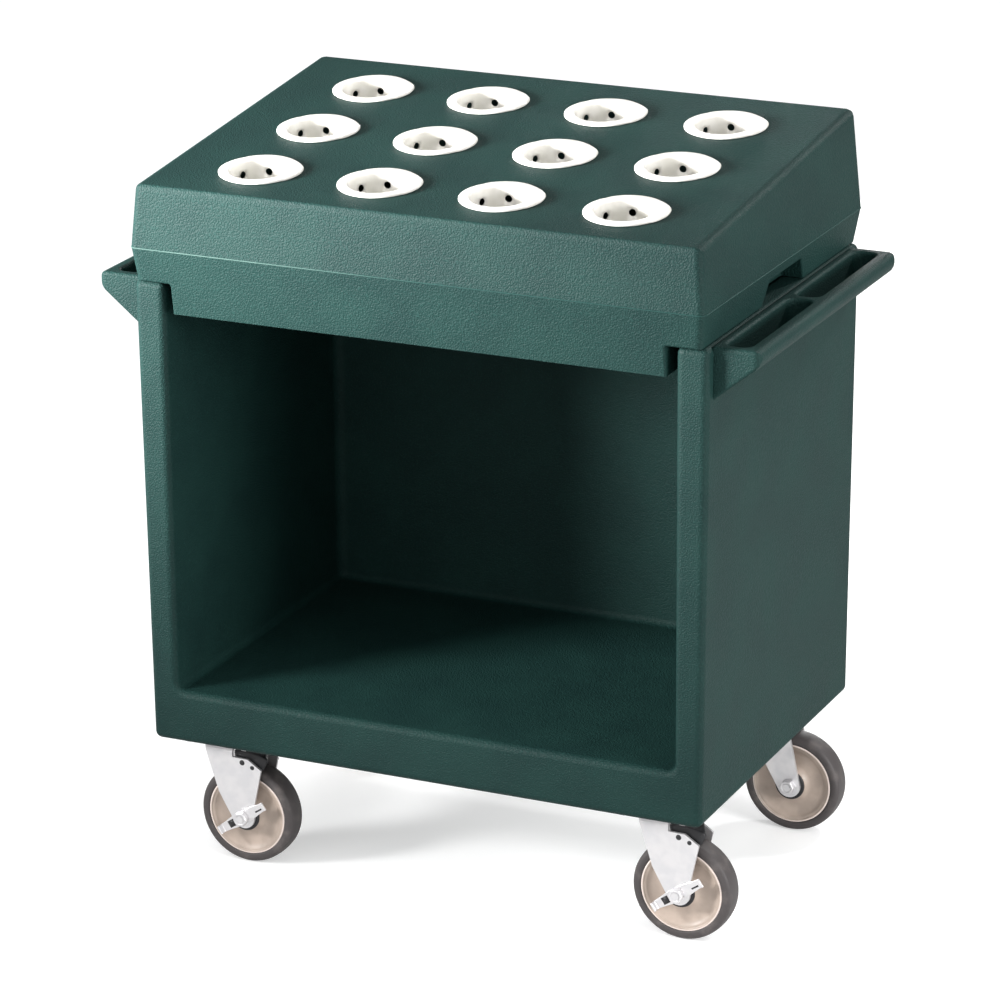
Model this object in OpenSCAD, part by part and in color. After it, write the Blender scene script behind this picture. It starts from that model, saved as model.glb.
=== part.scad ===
// Cutlery trolley: a hollow moulded cabinet on four casters, with a lift-off rack of cutlery cups on top.
// Millimetres. The floor is z = 0, the open front faces -Y and the push handles stand out along X.

/* [Body] */
// Width of the body across the tops of its side walls
body_w = 880; // [820:1:960]
// Depth of the body from front to back
body_d = 586; // [560:1:640]
// Height of the body from its underside to the tops of its walls
body_h = 700; // [600:1:760]
// How much each side comes in from the top of the body to its bottom
body_draft = 7; // [2:0.5:9]
// Thickness of the double side walls
wall_t = 48; // [42:1:60]
// Thickness of the double back wall
back_t = 50; // [40:1:60]
// Thickness of the double floor
floor_t = 80; // [66:1:100]
// Skin thickness of the hollow body
body_skin = 6; // [4:0.5:8]
// Radius of the body's upright corners
body_corner_r = 14; // [8:1:18]
// Radius along the bottom edges and the wall tops
body_edge_r = 10; // [4:1:14]
// Radius of the upright corners at the back of the compartment
bay_corner_r = 16; // [6:1:30]

/* [Handles] */
// Reach of the push handles beyond the side walls
handle_out = 67; // [58:1:80]
// Height of a handle where it meets the wall
handle_h = 76; // [66:1:100]
// Distance of a handle's front end behind the body's front
handle_front = 19; // [10:1:60]
// Distance of a handle's rear end from the body's back
handle_rear = 29; // [10:1:60]
// Radius of the handle's rounded outer rim
handle_rim_r = 11; // [8:0.5:13]
// Width of the ledge between the wall and the finger pockets
pocket_ledge = 9; // [6:1:14]
// Thickness of the floor under the finger pockets
pocket_floor = 9; // [6:1:12]
// Thickness of the walls at the ends of the finger pockets
pocket_end = 24; // [12:1:40]
// Width of the rib between the two finger pockets
pocket_rib = 26; // [12:1:40]

/* [Rack] */
// Width of the rack at its crease
rack_w = 878; // [820:1:960]
// Depth of the rack at its crease
rack_d = 612; // [590:1:660]
// Height of the crease above the rack's seat
rack_crease_h = 50; // [46:1:60]
// Height of the front top edge above the rack's seat
rack_front_h = 142; // [120:1:170]
// Height of the rear top edge above the rack's seat
rack_rear_h = 200; // [175:1:230]
// How much each side comes in from the crease down to the seat
rack_ledge_side = 8; // [4:1:12]
// How much the front and the back come in from the crease down to the seat
rack_ledge_face = 14; // [6:1:16]
// How much each side comes in from the crease to the top
rack_top_side = 8; // [3:1:16]
// How much the front comes in from the crease to the top
rack_top_front = 6; // [3:1:16]
// How much the back comes in from the crease to the top
rack_top_rear = 18; // [3:1:26]
// Skin thickness of the rack
rack_skin = 6; // [4:0.5:8]
// Radius along the rack's top edges
rack_edge_r = 12; // [6:1:16]
// Depth of the skirt that hangs between the walls
skirt_h = 45; // [30:1:70]
// Gap between the skirt and the walls
skirt_gap = 14; // [4:1:20]
// Length of the hand notch in each side, along its bottom
notch_l = 160; // [120:1:220]
// Height of the hand notch
notch_h = 35; // [25:1:38]
// Depth of the hand notch into the rack
notch_in = 40; // [30:1:44]
// How much each end of the hand notch leans in
notch_lean = 20; // [5:1:30]

/* [Cups] */
// Cups across the rack
cup_columns = 4; // [3:1:4]
// Spacing of the cups across the rack
cup_pitch_x = 187; // [150:1:195]
// Spacing of the cup rows from front to back
cup_pitch_y = 181; // [150:1:190]
// Distance of the middle row in front of the rack's centre
cup_forward = 21; // [0:1:30]
// Diameter of a cup under its flange
cup_d = 94; // [80:1:104]
// Diameter of a cup at its bottom
cup_foot_d = 84; // [70:1:92]
// Depth of a cup below its flange
cup_depth = 130; // [100:1:135]
// Wall thickness of a cup
cup_wall = 3; // [2:0.1:4]
// Diameter of a cup's flange
cup_flange_d = 112; // [106:1:124]
// Thickness of a cup's flange
cup_flange_t = 5; // [3:0.1:8]
// Reach of the two lifting ears from the cup's axis
cup_ear_r = 62.5; // [60:0.5:66]
// Angle of the ears, from the trolley's width
cup_ear_turn = 20; // [0:1:45]
// Diameter of the drain holes
drain_d = 10; // [6:0.5:12]
// Drain holes in each ring
drain_count = 5; // [4:1:6]
// Depth of the upper ring of drain holes below the flange
drain_top = 22; // [15:1:40]
// Distance from the upper to the lower ring of drain holes
drain_pitch = 58; // [20:1:60]

/* [Wheels] */
// Diameter of a wheel over its tyre
wheel_d = 152; // [125:1:160]
// Width of the tyre
tyre_w = 38; // [30:1:40]
// Thickness of the tyre
tyre_t = 14; // [10:0.5:18]
// Radius of the tyre's shoulders
tyre_shoulder_r = 7; // [3:0.5:9]
// Width of the wheel's rim
rim_w = 34; // [28:1:36]
// Depth of the wheel's rim
rim_t = 9; // [6:0.5:12]
// Thickness of the wheel's web
web_t = 16; // [10:1:24]
// Diameter of the wheel's hub
hub_d = 42; // [36:1:50]
// Width of the wheel's hub
hub_w = 42; // [40:1:46]
// Diameter of the axle bolt
axle_d = 12; // [10:0.5:14]
// Wall thickness of the bush on the axle
bush_t = 3; // [2:0.5:4]
// Diameter of the guards that keep thread out of the hub
guard_d = 46; // [30:1:50]

/* [Casters] */
// Distance of the swivel axes in from the body's bottom side edges
caster_inset_x = 86; // [76:1:120]
// Distance of the swivel axes in from the front and back
caster_inset_y = 77; // [70:1:120]
// Distance of the axle behind the swivel axis
caster_trail = 34; // [28:1:42]
// Gap between the tyre and the fork's crown
tyre_clear = 28; // [22:1:34]
// Sheet thickness of the fork
fork_t = 4; // [3:0.5:5]
// Gap between the fork's legs
fork_gap = 50; // [48:1:56]
// Radius of the fork's crown
crown_r = 36; // [35:0.5:40]
// Radius of the fork's legs around the axle
leg_end_r = 18; // [15:0.5:20]
// Reach of the legs' top in front of the swivel axis
leg_front = 29; // [26:0.5:34]
// Reach of a braked leg's top behind the swivel axis
leg_back = 18; // [12:0.5:24]
// Reach of the bend in a leg's front edge before the axle
knee_out = 40; // [36:1:44]
// Height of that bend above the axle
knee_up = 35; // [30:1:40]
// Reach of a braked fork's shoulder behind the axle
shoulder_out = 31; // [28:1:34]
// Drop of a braked fork's shoulder below the leg's edge beside the shoe
shoulder_drop = 15; // [10:1:18]
// Height between the crown and the top plate
race_h = 12; // [11:0.5:16]
// Diameter of the ring of balls
race_d = 60; // [56:0.5:62]
// Diameter of a ball
ball_d = 6; // [5:0.5:7]
// Balls in each swivel
ball_count = 12; // [8:1:16]
// Diameter of the kingpin
kingpin_d = 12; // [10:0.5:14]
// Length of the top plate, across the trolley
plate_l = 114; // [108:1:130]
// Width of the top plate, front to back
plate_w = 102; // [96:1:120]
// Thickness of the top plate
plate_t = 4; // [4:0.5:6]
// Spacing of the plate's bolts across the trolley
plate_bolt_x = 92; // [88:1:96]
// Spacing of the plate's bolts front to back
plate_bolt_y = 78; // [76:1:82]

/* [Brakes] */
// Sheet thickness of the brake lever
lever_t = 3; // [2:0.5:4]
// Width of the brake lever's arm
lever_w = 20; // [18:1:26]
// Reach of each lever tab from the axle
lever_r = 37; // [32:1:44]
// Length of the lever tabs, out from the arm
tab_l = 13; // [8:1:18]
// Tilt of the lever at rest
lever_tilt = 32; // [25:1:40]
// Thickness of the brake shoe over the tyre
shoe_t = 22; // [16:0.5:22]
// Width of the brake shoe
shoe_w = 44; // [36:1:46]
// Gap between the brake shoe and the tyre when it is off
shoe_clear = 3.8; // [3.6:0.1:4.6]
// Diameter of the pin that carries the brake shoe
shoe_pin_d = 5; // [4:0.5:6]

/* [Fasteners] */
// Diameter of the caster bolts
bolt_d = 8; // [6:1:10]
// Length of a caster bolt inside the body
bolt_reach = 18; // [14:1:20]
// Outer diameter of the threaded inserts in the body
insert_d = 13; // [12:0.5:15]
// Length of the threaded inserts
insert_l = 24; // [22:1:28]
// Thickness of a washer
washer_t = 1.6; // [1:0.1:2.5]

/* [Hidden] */
// Clearances and cutting
fit_gap = 0.05;
seat_gap = 0.3;
slip_gap = 1;
overrun = 2;
arc_steps = 6;
$fn = 64;

// Colours
green = "#3f6159";
white = "#f4f3ef";
zinc = "#c9cacc";
taupe = "#a3968a";
tyre_grey = "#4d4a4b";
black = "#2b2c2e";
brass = "#b08d4f";

// Fastener heads follow their shanks, as a standard hexagon does
hex_share = 1.9;
head_share = 0.66;
nut_share = 0.8;
washer_share = 2;
bolt_head_d = bolt_d * hex_share;
bolt_head_h = bolt_d * head_share;
washer_d = bolt_d * washer_share;
axle_head_d = axle_d * hex_share;
axle_head_h = axle_d * head_share;
axle_nut_h = axle_d * nut_share;
kingpin_head_share = 1.7;
kingpin_head_d = kingpin_d * kingpin_head_share;
kingpin_head_h = plate_t / 2;
kingpin_nut_d = kingpin_d * hex_share;
kingpin_nut_h = kingpin_d * head_share;

// Heights
axle_z = wheel_d / 2;
crown_z = wheel_d + tyre_clear;
crown_top = crown_z + fork_t;
plate_z = crown_top + race_h;
body_z = plate_z + plate_t;
floor_z = body_z + floor_t;
wall_z = body_z + body_h;
rack_z = wall_z + seat_gap;
crease_z = rack_z + rack_crease_h;
front_z = rack_z + rack_front_h;
rear_z = rack_z + rack_rear_h;

// Body
base_w = body_w - 2 * body_draft;
bay_w = body_w - 2 * wall_t;
bay_back = body_d / 2 - back_t;
void_w = base_w - 2 * body_skin;
void_d = body_d - 2 * body_skin;
handle_y0 = handle_front - body_d / 2;
handle_y1 = body_d / 2 - handle_rear;
pocket_l = (handle_y1 - handle_y0 - pocket_rib) / 2 - pocket_end;
pocket_x = handle_out - 2 * handle_rim_r;

// Casters
caster_x = base_w / 2 - caster_inset_x;
caster_y = body_d / 2 - caster_inset_y;
pad_margin = 8;
pad_h = insert_l + body_skin;
leg_y = fork_gap / 2 + fork_t;
plate_corner_r = 8;
ball_z = crown_top + race_h / 2;
race_wall = 6;
race_gap = 2;
race_ring_h = (race_h - race_gap) / 2;

// Brakes: the shoe turns on a pin through the fork's legs, over the axle
shoe_r = wheel_d / 2 + shoe_clear;
shoe_start = 63;
shoe_end = 100;
pin_depth_share = 0.29;
pin_edge = 6;
pin_x = caster_trail;
pin_z = axle_z + shoe_r + shoe_t * pin_depth_share;
sill_share = 0.3;
sill_x = caster_trail + shoulder_out * sill_share;
sill_z = pin_z + pin_edge;
shoulder_x = caster_trail + shoulder_out;
shoulder_z = sill_z - shoulder_drop;
lever_y = leg_y + seat_gap;
lever_round_share = 0.25;

// Rack
skirt_w = bay_w - 2 * skirt_gap;
skirt_y0 = rack_ledge_face - rack_d / 2;
skirt_y1 = bay_back - skirt_gap;
top_y0 = rack_top_front - rack_d / 2;
top_y1 = rack_d / 2 - rack_top_rear;
slope = atan2(rear_z - front_z, top_y1 - top_y0);
ledge_edge_r = rack_ledge_side / 2;

// Cups
row_names = ["front", "middle", "rear"];
row_count = len(row_names);
cup_places = [for (r = [0 : row_count - 1], c = [0 : cup_columns - 1]) [r, c]];
drain_start = 6;
drain_step = 360 / drain_count;
seam_turn = drain_start + 3 * drain_step / 2;
ear_spread = 27;
ear_bite = 1.5;
ear_step = 0.5;
foot_ring_share = 0.27;

// Corners: name, side along X, side along Y, and whether the caster has a brake
corners = [
    ["front_left", -1, -1, true],
    ["front_right", 1, -1, true],
    ["rear_left", -1, 1, false],
    ["rear_right", 1, 1, false]
];
braked_corners = [for (corner = corners) if (corner[3]) corner];
caster_parts = ["top_plate", "fork", "axle_bolt", "axle_nut", "thread_guards", "wheel_core", "tyre", "bush"];
brake_parts = ["brake_lever", "brake_shoe", "brake_pin"];
swivel_groups = ["kingpins", "kingpin_nuts", "swivel_balls"];
bolt_groups = ["caster_bolts", "caster_washers", "caster_inserts"];

function cup_name(place) = str("cup_", row_names[place[0]], "_", place[1] + 1);
function corner_node(corner, part) = str(corner[0], "_", part);

// Points of an outline with its corners rounded, each by its own radius
function unit(v) = v / norm(v);
function corner_arc(before, at, after, r) =
    r == 0 ? [at] :
    let (
        a = unit(before - at),
        b = unit(after - at),
        half = acos(a * b) / 2,
        centre = at + unit(a + b) * r / sin(half),
        from = at + a * r / tan(half) - centre,
        start = atan2(from[1], from[0]),
        turn = -sign(cross(a, b)) * (180 - 2 * half)
    )
    [for (i = [0 : arc_steps])
        let (angle = start + turn * i / arc_steps)
        centre + r * [cos(angle), sin(angle)]];
function rounded(points, radii) =
    let (n = len(points))
    [for (i = [0 : n - 1])
        each corner_arc(points[(i + n - 1) % n], points[i], points[(i + 1) % n], radii[i])];
function box_points(w, d) = [[-w / 2, -d / 2], [w / 2, -d / 2], [w / 2, d / 2], [-w / 2, d / 2]];

// A profile drawn in X and Z, pulled along Y about the middle
module along_y(length) {
    rotate([90, 0, 0]) linear_extrude(height = length, center = true) children();
}

// A profile drawn in Y and Z, pulled along X about the middle
module along_x(length) {
    rotate([90, 0, 90]) linear_extrude(height = length, center = true) children();
}

// A cylinder along Y between two places
module rod_y(d, y0, y1) {
    translate([0, y1, 0]) rotate([90, 0, 0]) cylinder(h = y1 - y0, d = d);
}

// A hexagon along Y between two places
module hex_y(d, y0, y1) {
    translate([0, y1, 0]) rotate([90, 0, 0]) cylinder(h = y1 - y0, d = d, $fn = 6);
}

module both_sides() {
    children();
    mirror([1, 0, 0]) children();
}

module at_corner(corner) {
    translate([corner[1] * caster_x, corner[2] * caster_y, 0]) children();
}

module at_axle() {
    translate([caster_trail, 0, axle_z]) children();
}

module at_plate_bolts() {
    for (x = [-1, 1], y = [-1, 1])
        translate([x * plate_bolt_x / 2, y * plate_bolt_y / 2, 0]) children();
}

// A place on the sloping top of the rack, with its own Z square to the slope
module at_cup(place) {
    x = (place[1] - (cup_columns - 1) / 2) * cup_pitch_x;
    y = (place[0] - (row_count - 1) / 2) * cup_pitch_y - cup_forward;
    translate([x, y, front_z + (y - top_y0) * tan(slope)]) rotate([slope, 0, 0]) children();
}

// Body

module body_block() {
    profile = [[-base_w / 2, body_z], [base_w / 2, body_z], [body_w / 2, wall_z], [-body_w / 2, wall_z]];
    plan_r = [for (i = [0 : 3]) body_corner_r];
    edge_r = [for (i = [0 : 3]) body_edge_r];
    intersection() {
        along_y(body_d) polygon(rounded(profile, edge_r));
        translate([0, 0, body_z]) linear_extrude(height = body_h)
            polygon(rounded(box_points(body_w, body_d), plan_r));
    }
}

// The tray compartment, open at the front and at the top
module bay() {
    front = -body_d / 2 - overrun;
    outline = [[-bay_w / 2, front], [bay_w / 2, front], [bay_w / 2, bay_back], [-bay_w / 2, bay_back]];
    translate([0, 0, floor_z]) linear_extrude(height = body_h)
        polygon(rounded(outline, [0, 0, bay_corner_r, bay_corner_r]));
}

module caster_pads() {
    for (corner = corners)
        at_corner(corner)
            translate([-plate_l / 2 - pad_margin, -plate_w / 2 - pad_margin, body_z])
                cube([plate_l + 2 * pad_margin, plate_w + 2 * pad_margin, pad_h]);
}

// The sealed hollow inside the floor, the side walls and the back wall
module body_hollow() {
    low = body_z + body_skin;
    wall_h = wall_z - body_skin - low;
    side_x = bay_w / 2 + body_skin;
    difference() {
        union() {
            translate([-void_w / 2, -void_d / 2, low])
                cube([void_w, void_d, floor_t - 2 * body_skin]);
            both_sides()
                translate([side_x, -void_d / 2, low])
                    cube([void_w / 2 - side_x, void_d, wall_h]);
            translate([-void_w / 2, bay_back + body_skin, low])
                cube([void_w, back_t - 2 * body_skin, wall_h]);
        }
        caster_pads();
    }
}

// One push handle, moulded on the right wall
module handle() {
    outline = [
        [-body_skin, 0], [-body_skin, -handle_h], [0, -handle_h],
        [handle_out, -2 * handle_rim_r], [handle_out, 0]
    ];
    rim = [0, 0, 0, handle_rim_r, handle_rim_r];
    translate([body_w / 2, (handle_y0 + handle_y1) / 2, wall_z])
        along_y(handle_y1 - handle_y0) polygon(rounded(outline, rim));
}

// The two finger pockets in the top of the right handle, with floors along its sloping underside
module handle_pockets() {
    rise = (handle_h - 2 * handle_rim_r) / handle_out;
    low = pocket_floor - handle_h;
    outline = [
        [pocket_ledge, overrun], [pocket_ledge, low + rise * pocket_ledge],
        [pocket_x, low + rise * pocket_x], [pocket_x, overrun]
    ];
    for (y = [handle_y0 + pocket_end + pocket_l / 2, handle_y1 - pocket_end - pocket_l / 2])
        translate([body_w / 2, y, wall_z]) along_y(pocket_l) polygon(outline);
}

module insert_bores() {
    for (corner = corners)
        at_corner(corner) at_plate_bolts()
            translate([0, 0, body_z - overrun])
                cylinder(h = insert_l + seat_gap + overrun, d = insert_d + 2 * fit_gap);
}

module cart_body() {
    color(green) difference() {
        union() {
            difference() {
                body_block();
                bay();
            }
            both_sides() handle();
        }
        body_hollow();
        both_sides() handle_pockets();
        insert_bores();
    }
}

// Rack

// The rack's outer form, or its inside when drawn in by the skin
module rack_form(inset, radius) {
    low = rack_z + inset;
    side = [
        [inset + rack_ledge_face - rack_d / 2, low], [rack_d / 2 - rack_ledge_face - inset, low],
        [rack_d / 2 - inset, crease_z], [top_y1 - inset, rear_z - inset],
        [top_y0 + inset, front_z - inset], [inset - rack_d / 2, crease_z]
    ];
    face = [
        [inset + rack_ledge_side - rack_w / 2, low], [rack_w / 2 - rack_ledge_side - inset, low],
        [rack_w / 2 - inset, crease_z], [rack_w / 2 - rack_top_side - inset, rear_z],
        [rack_top_side + inset - rack_w / 2, rear_z], [inset - rack_w / 2, crease_z]
    ];
    intersection() {
        along_x(rack_w) polygon(rounded(side, [0, 0, 0, radius, radius, 0]));
        along_y(rack_d) polygon(rounded(face, [ledge_edge_r, ledge_edge_r, 0, 0, 0, 0]));
    }
}

module skirt(inset, below) {
    translate([inset - skirt_w / 2, skirt_y0 + inset, rack_z - skirt_h - below])
        cube([skirt_w - 2 * inset, skirt_y1 - skirt_y0 - 2 * inset, skirt_h + rack_skin + 2 * below]);
}

// A hand notch in the bottom edge of the right side, grown by a margin
module notch(margin) {
    top = rack_z + notch_h + margin;
    outline = [
        [-notch_l / 2 - margin, rack_z - overrun], [notch_l / 2 + margin, rack_z - overrun],
        [notch_l / 2 - notch_lean + margin, top], [notch_lean - notch_l / 2 - margin, top]
    ];
    depth = notch_in + margin + overrun;
    translate([rack_w / 2 + overrun - depth / 2, 0, 0]) along_x(depth) polygon(outline);
}

module cup_holes() {
    for (place = cup_places)
        at_cup(place)
            translate([0, 0, -cup_depth / 2]) cylinder(h = cup_depth, d = cup_d + 2 * slip_gap);
}

module cutlery_rack() {
    color(green) difference() {
        union() {
            rack_form(0, rack_edge_r);
            skirt(0, 0);
        }
        difference() {
            rack_form(rack_skin, rack_edge_r - rack_skin / 2);
            both_sides() notch(rack_skin);
        }
        skirt(rack_skin, overrun);
        both_sides() notch(0);
        cup_holes();
    }
}

// Cups

module cup_shell() {
    foot = -cup_depth;
    lip = seat_gap + cup_flange_t;
    rotate([0, 0, seam_turn]) rotate_extrude() polygon([
        [0, foot], [cup_foot_d / 2, foot], [cup_d / 2, seat_gap], [cup_flange_d / 2, seat_gap],
        [cup_flange_d / 2, lip], [cup_d / 2 - cup_wall, lip],
        [cup_foot_d / 2 - cup_wall, foot + cup_wall], [0, foot + cup_wall]
    ]);
}

// Two pointed ears on the flange, a little thinner than it, by which the cup is lifted
module cup_ears() {
    root = (cup_flange_d / 2 - ear_bite) * [cos(ear_spread), sin(ear_spread)];
    rotate([0, 0, cup_ear_turn]) translate([0, 0, seat_gap + ear_step]) difference() {
        linear_extrude(height = cup_flange_t - 2 * ear_step) polygon([
            [cup_ear_r, 0], root, [-root[0], root[1]],
            [-cup_ear_r, 0], -root, [root[0], -root[1]]
        ]);
        translate([0, 0, -overrun])
            cylinder(h = cup_flange_t + 2 * overrun, d = (cup_d + cup_flange_d) / 2);
    }
}

module cup_drains() {
    for (i = [0 : drain_count - 1]) {
        rotate([0, 0, drain_start + i * drain_step]) {
            for (z = [drain_top, drain_top + drain_pitch])
                translate([0, 0, -z]) rotate([0, 90, 0]) cylinder(h = cup_d, d = drain_d);
            translate([cup_foot_d * foot_ring_share, 0, -cup_depth - overrun])
                cylinder(h = cup_wall + 2 * overrun, d = drain_d);
        }
    }
}

module cup(place) {
    color(white) at_cup(place) difference() {
        union() {
            cup_shell();
            cup_ears();
        }
        cup_drains();
    }
}

// Casters

// The groove that the balls run in
module ball_groove() {
    translate([0, 0, ball_z]) rotate_extrude()
        translate([race_d / 2, 0]) circle(d = ball_d + 2 * fit_gap);
}

module race_ring(low) {
    translate([0, 0, low]) difference() {
        cylinder(h = race_ring_h, d = race_d + 2 * race_wall);
        translate([0, 0, -overrun]) cylinder(h = race_ring_h + 2 * overrun, d = race_d - 2 * race_wall);
    }
}

module top_plate() {
    corner_r = [for (i = [0 : 3]) plate_corner_r];
    color(zinc) difference() {
        union() {
            translate([0, 0, plate_z]) linear_extrude(height = plate_t)
                polygon(rounded(box_points(plate_l, plate_w), corner_r));
            race_ring(plate_z - race_ring_h);
        }
        ball_groove();
        translate([0, 0, plate_z - overrun])
            cylinder(h = plate_t + 2 * overrun, d = kingpin_d + 2 * fit_gap);
        translate([0, 0, body_z - kingpin_head_h])
            cylinder(h = kingpin_head_h + overrun, d = kingpin_head_d + 2 * fit_gap);
        at_plate_bolts()
            translate([0, 0, plate_z - overrun]) cylinder(h = plate_t + 2 * overrun, d = bolt_d + slip_gap);
    }
}

// A leg bends in from the crown to the axle, and on a braked fork its edge drops beside the shoe
foot_turn = atan2(knee_up, -knee_out) + acos(leg_end_r / norm([knee_out, knee_up]));
foot_steps = 2 * arc_steps;
foot_arc = [for (i = [0 : foot_steps])
    let (angle = foot_turn + (360 - foot_turn) * i / foot_steps)
    [caster_trail, axle_z] + leg_end_r * [cos(angle), sin(angle)]];
plain_back = [[leg_front, crown_top]];
braked_back = [
    [caster_trail + leg_end_r, axle_z + leg_end_r], [shoulder_x, shoulder_z], [sill_x, sill_z],
    [leg_back, sill_z], [leg_back, crown_top]
];
leg_edge = [[-leg_front, crown_top], [caster_trail - knee_out, axle_z + knee_up]];
function leg_points(braked) = concat(foot_arc, braked ? braked_back : plain_back, leg_edge);
function leg_radii(braked) = concat(
    [for (point = foot_arc) 0],
    braked ? [fork_t, fork_t, fork_t, fork_t, 0] : [0],
    [0, leg_end_r]
);

module fork(braked) {
    color(zinc) difference() {
        union() {
            for (y = [-1, 1])
                translate([0, y * (fork_gap + fork_t) / 2, 0])
                    along_y(fork_t) polygon(rounded(leg_points(braked), leg_radii(braked)));
            translate([-leg_front, -leg_y, crown_z]) cube([2 * leg_front, 2 * leg_y, fork_t]);
            translate([0, 0, crown_z]) cylinder(h = fork_t, r = crown_r);
            race_ring(crown_top);
        }
        ball_groove();
        translate([0, 0, crown_z - overrun])
            cylinder(h = fork_t + 2 * overrun, d = kingpin_d + 2 * fit_gap);
        at_axle() rod_y(axle_d + 2 * fit_gap, -leg_y - overrun, leg_y + overrun);
        if (braked)
            translate([pin_x, 0, pin_z]) rod_y(shoe_pin_d + 2 * fit_gap, -leg_y - overrun, leg_y + overrun);
    }
}

// On a braked caster the nut holds the lever too
function nut_start(braked) = leg_y + (braked ? lever_t + 2 * seat_gap : 0);

module axle_bolt(braked) {
    color(zinc) at_axle() union() {
        rod_y(axle_d, -nut_start(braked) - axle_nut_h, leg_y);
        hex_y(axle_head_d, leg_y, leg_y + axle_head_h);
    }
}

module axle_nut(braked) {
    start = nut_start(braked);
    color(zinc) at_axle() difference() {
        hex_y(axle_head_d, -start - axle_nut_h, -start);
        rod_y(axle_d + 2 * fit_gap, -start - axle_nut_h - overrun, overrun - start);
    }
}

module thread_guards() {
    inner = hub_w / 2 + seat_gap;
    color(black) at_axle() for (side = [0, 1]) mirror([0, side, 0]) difference() {
        rod_y(guard_d, inner, fork_gap / 2);
        rod_y(axle_d + 2 * fit_gap, inner - overrun, fork_gap / 2 + overrun);
    }
}

module wheel_core() {
    bore = axle_d / 2 + fit_gap + bush_t + fit_gap;
    rim = wheel_d / 2 - tyre_t;
    inside = rim - rim_t;
    color(taupe) at_axle() rotate([90, 0, 0]) rotate_extrude() polygon([
        [bore, -hub_w / 2], [hub_d / 2, -hub_w / 2], [hub_d / 2 + web_t / 2, -web_t / 2],
        [inside - web_t / 2, -web_t / 2], [inside, -rim_w / 2], [rim, -rim_w / 2],
        [rim, rim_w / 2], [inside, rim_w / 2], [inside - web_t / 2, web_t / 2],
        [hub_d / 2 + web_t / 2, web_t / 2], [hub_d / 2, hub_w / 2], [bore, hub_w / 2]
    ]);
}

module tyre() {
    seat = wheel_d / 2 - tyre_t + fit_gap;
    tread = wheel_d / 2;
    outline = [[seat, -tyre_w / 2], [tread, -tyre_w / 2], [tread, tyre_w / 2], [seat, tyre_w / 2]];
    color(tyre_grey) at_axle() rotate([90, 0, 0]) rotate_extrude()
        polygon(rounded(outline, [0, tyre_shoulder_r, tyre_shoulder_r, 0]));
}

module bush() {
    color(brass) at_axle() difference() {
        rod_y(axle_d + 2 * (fit_gap + bush_t), -hub_w / 2, hub_w / 2);
        rod_y(axle_d + 2 * fit_gap, -hub_w / 2 - overrun, hub_w / 2 + overrun);
    }
}

// Brakes

// A stamped arm on the axle with a foot tab bent out at each end
module brake_lever() {
    arm = box_points(2 * lever_r, lever_w);
    arm_r = [for (i = [0 : 3]) lever_w * lever_round_share];
    color(zinc) at_axle() rotate([0, -lever_tilt, 0]) difference() {
        union() {
            translate([0, -lever_y - lever_t / 2, 0]) along_y(lever_t) polygon(rounded(arm, arm_r));
            for (side = [-1, 1])
                translate([side * (lever_r - lever_t / 2) - lever_t / 2, -lever_y - tab_l, -lever_w / 4])
                    cube([lever_t, tab_l, lever_w / 2]);
        }
        rod_y(axle_d + 2 * fit_gap, -lever_y - lever_t - overrun, overrun - lever_y);
    }
}

// A block that curves over the tyre and turns on its pin
module brake_shoe() {
    inner = [for (i = [0 : arc_steps]) shoe_start + (shoe_end - shoe_start) * i / arc_steps];
    outer = [for (i = [0 : arc_steps]) shoe_end - (shoe_end - shoe_start) * i / arc_steps];
    sector = concat(
        [for (a = inner) shoe_r * [cos(a), sin(a)]],
        [for (a = outer) (shoe_r + shoe_t) * [cos(a), sin(a)]]
    );
    color(black) difference() {
        at_axle() along_y(shoe_w) polygon(sector);
        translate([pin_x, 0, pin_z]) rod_y(shoe_pin_d + 2 * fit_gap, -fork_gap, fork_gap);
    }
}

module brake_pin() {
    color(zinc) translate([pin_x, 0, pin_z]) rod_y(shoe_pin_d, -leg_y, leg_y);
}

// Groups of small parts, one of each kind in every swivel or at every plate bolt

module kingpins() {
    low = crown_z - seat_gap - kingpin_nut_h;
    color(zinc) for (corner = corners) at_corner(corner) union() {
        translate([0, 0, low]) cylinder(h = body_z - low, d = kingpin_d);
        translate([0, 0, body_z - kingpin_head_h]) cylinder(h = kingpin_head_h, d = kingpin_head_d);
    }
}

module kingpin_nuts() {
    low = crown_z - seat_gap - kingpin_nut_h;
    color(zinc) for (corner = corners) at_corner(corner) translate([0, 0, low]) difference() {
        cylinder(h = kingpin_nut_h, d = kingpin_nut_d, $fn = 6);
        translate([0, 0, -overrun]) cylinder(h = kingpin_nut_h + 2 * overrun, d = kingpin_d + 2 * fit_gap);
    }
}

module swivel_balls() {
    color(zinc) for (corner = corners) at_corner(corner)
        for (i = [0 : ball_count - 1])
            rotate([0, 0, i * 360 / ball_count]) translate([race_d / 2, 0, ball_z]) sphere(d = ball_d);
}

module caster_bolts() {
    head_z = plate_z - washer_t - bolt_head_h;
    color(zinc) for (corner = corners) at_corner(corner) at_plate_bolts() union() {
        translate([0, 0, head_z]) cylinder(h = bolt_head_h, d = bolt_head_d, $fn = 6);
        translate([0, 0, head_z]) cylinder(h = body_z + bolt_reach - head_z, d = bolt_d);
    }
}

module caster_washers() {
    color(zinc) for (corner = corners) at_corner(corner) at_plate_bolts()
        translate([0, 0, plate_z - washer_t]) difference() {
            cylinder(h = washer_t, d = washer_d);
            translate([0, 0, -overrun]) cylinder(h = washer_t + 2 * overrun, d = bolt_d + 2 * fit_gap);
        }
}

module caster_inserts() {
    color(brass) for (corner = corners) at_corner(corner) at_plate_bolts()
        translate([0, 0, body_z]) difference() {
            cylinder(h = insert_l, d = insert_d);
            translate([0, 0, -overrun]) cylinder(h = bolt_reach + 2 * overrun, d = bolt_d + 2 * fit_gap);
        }
}

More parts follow.
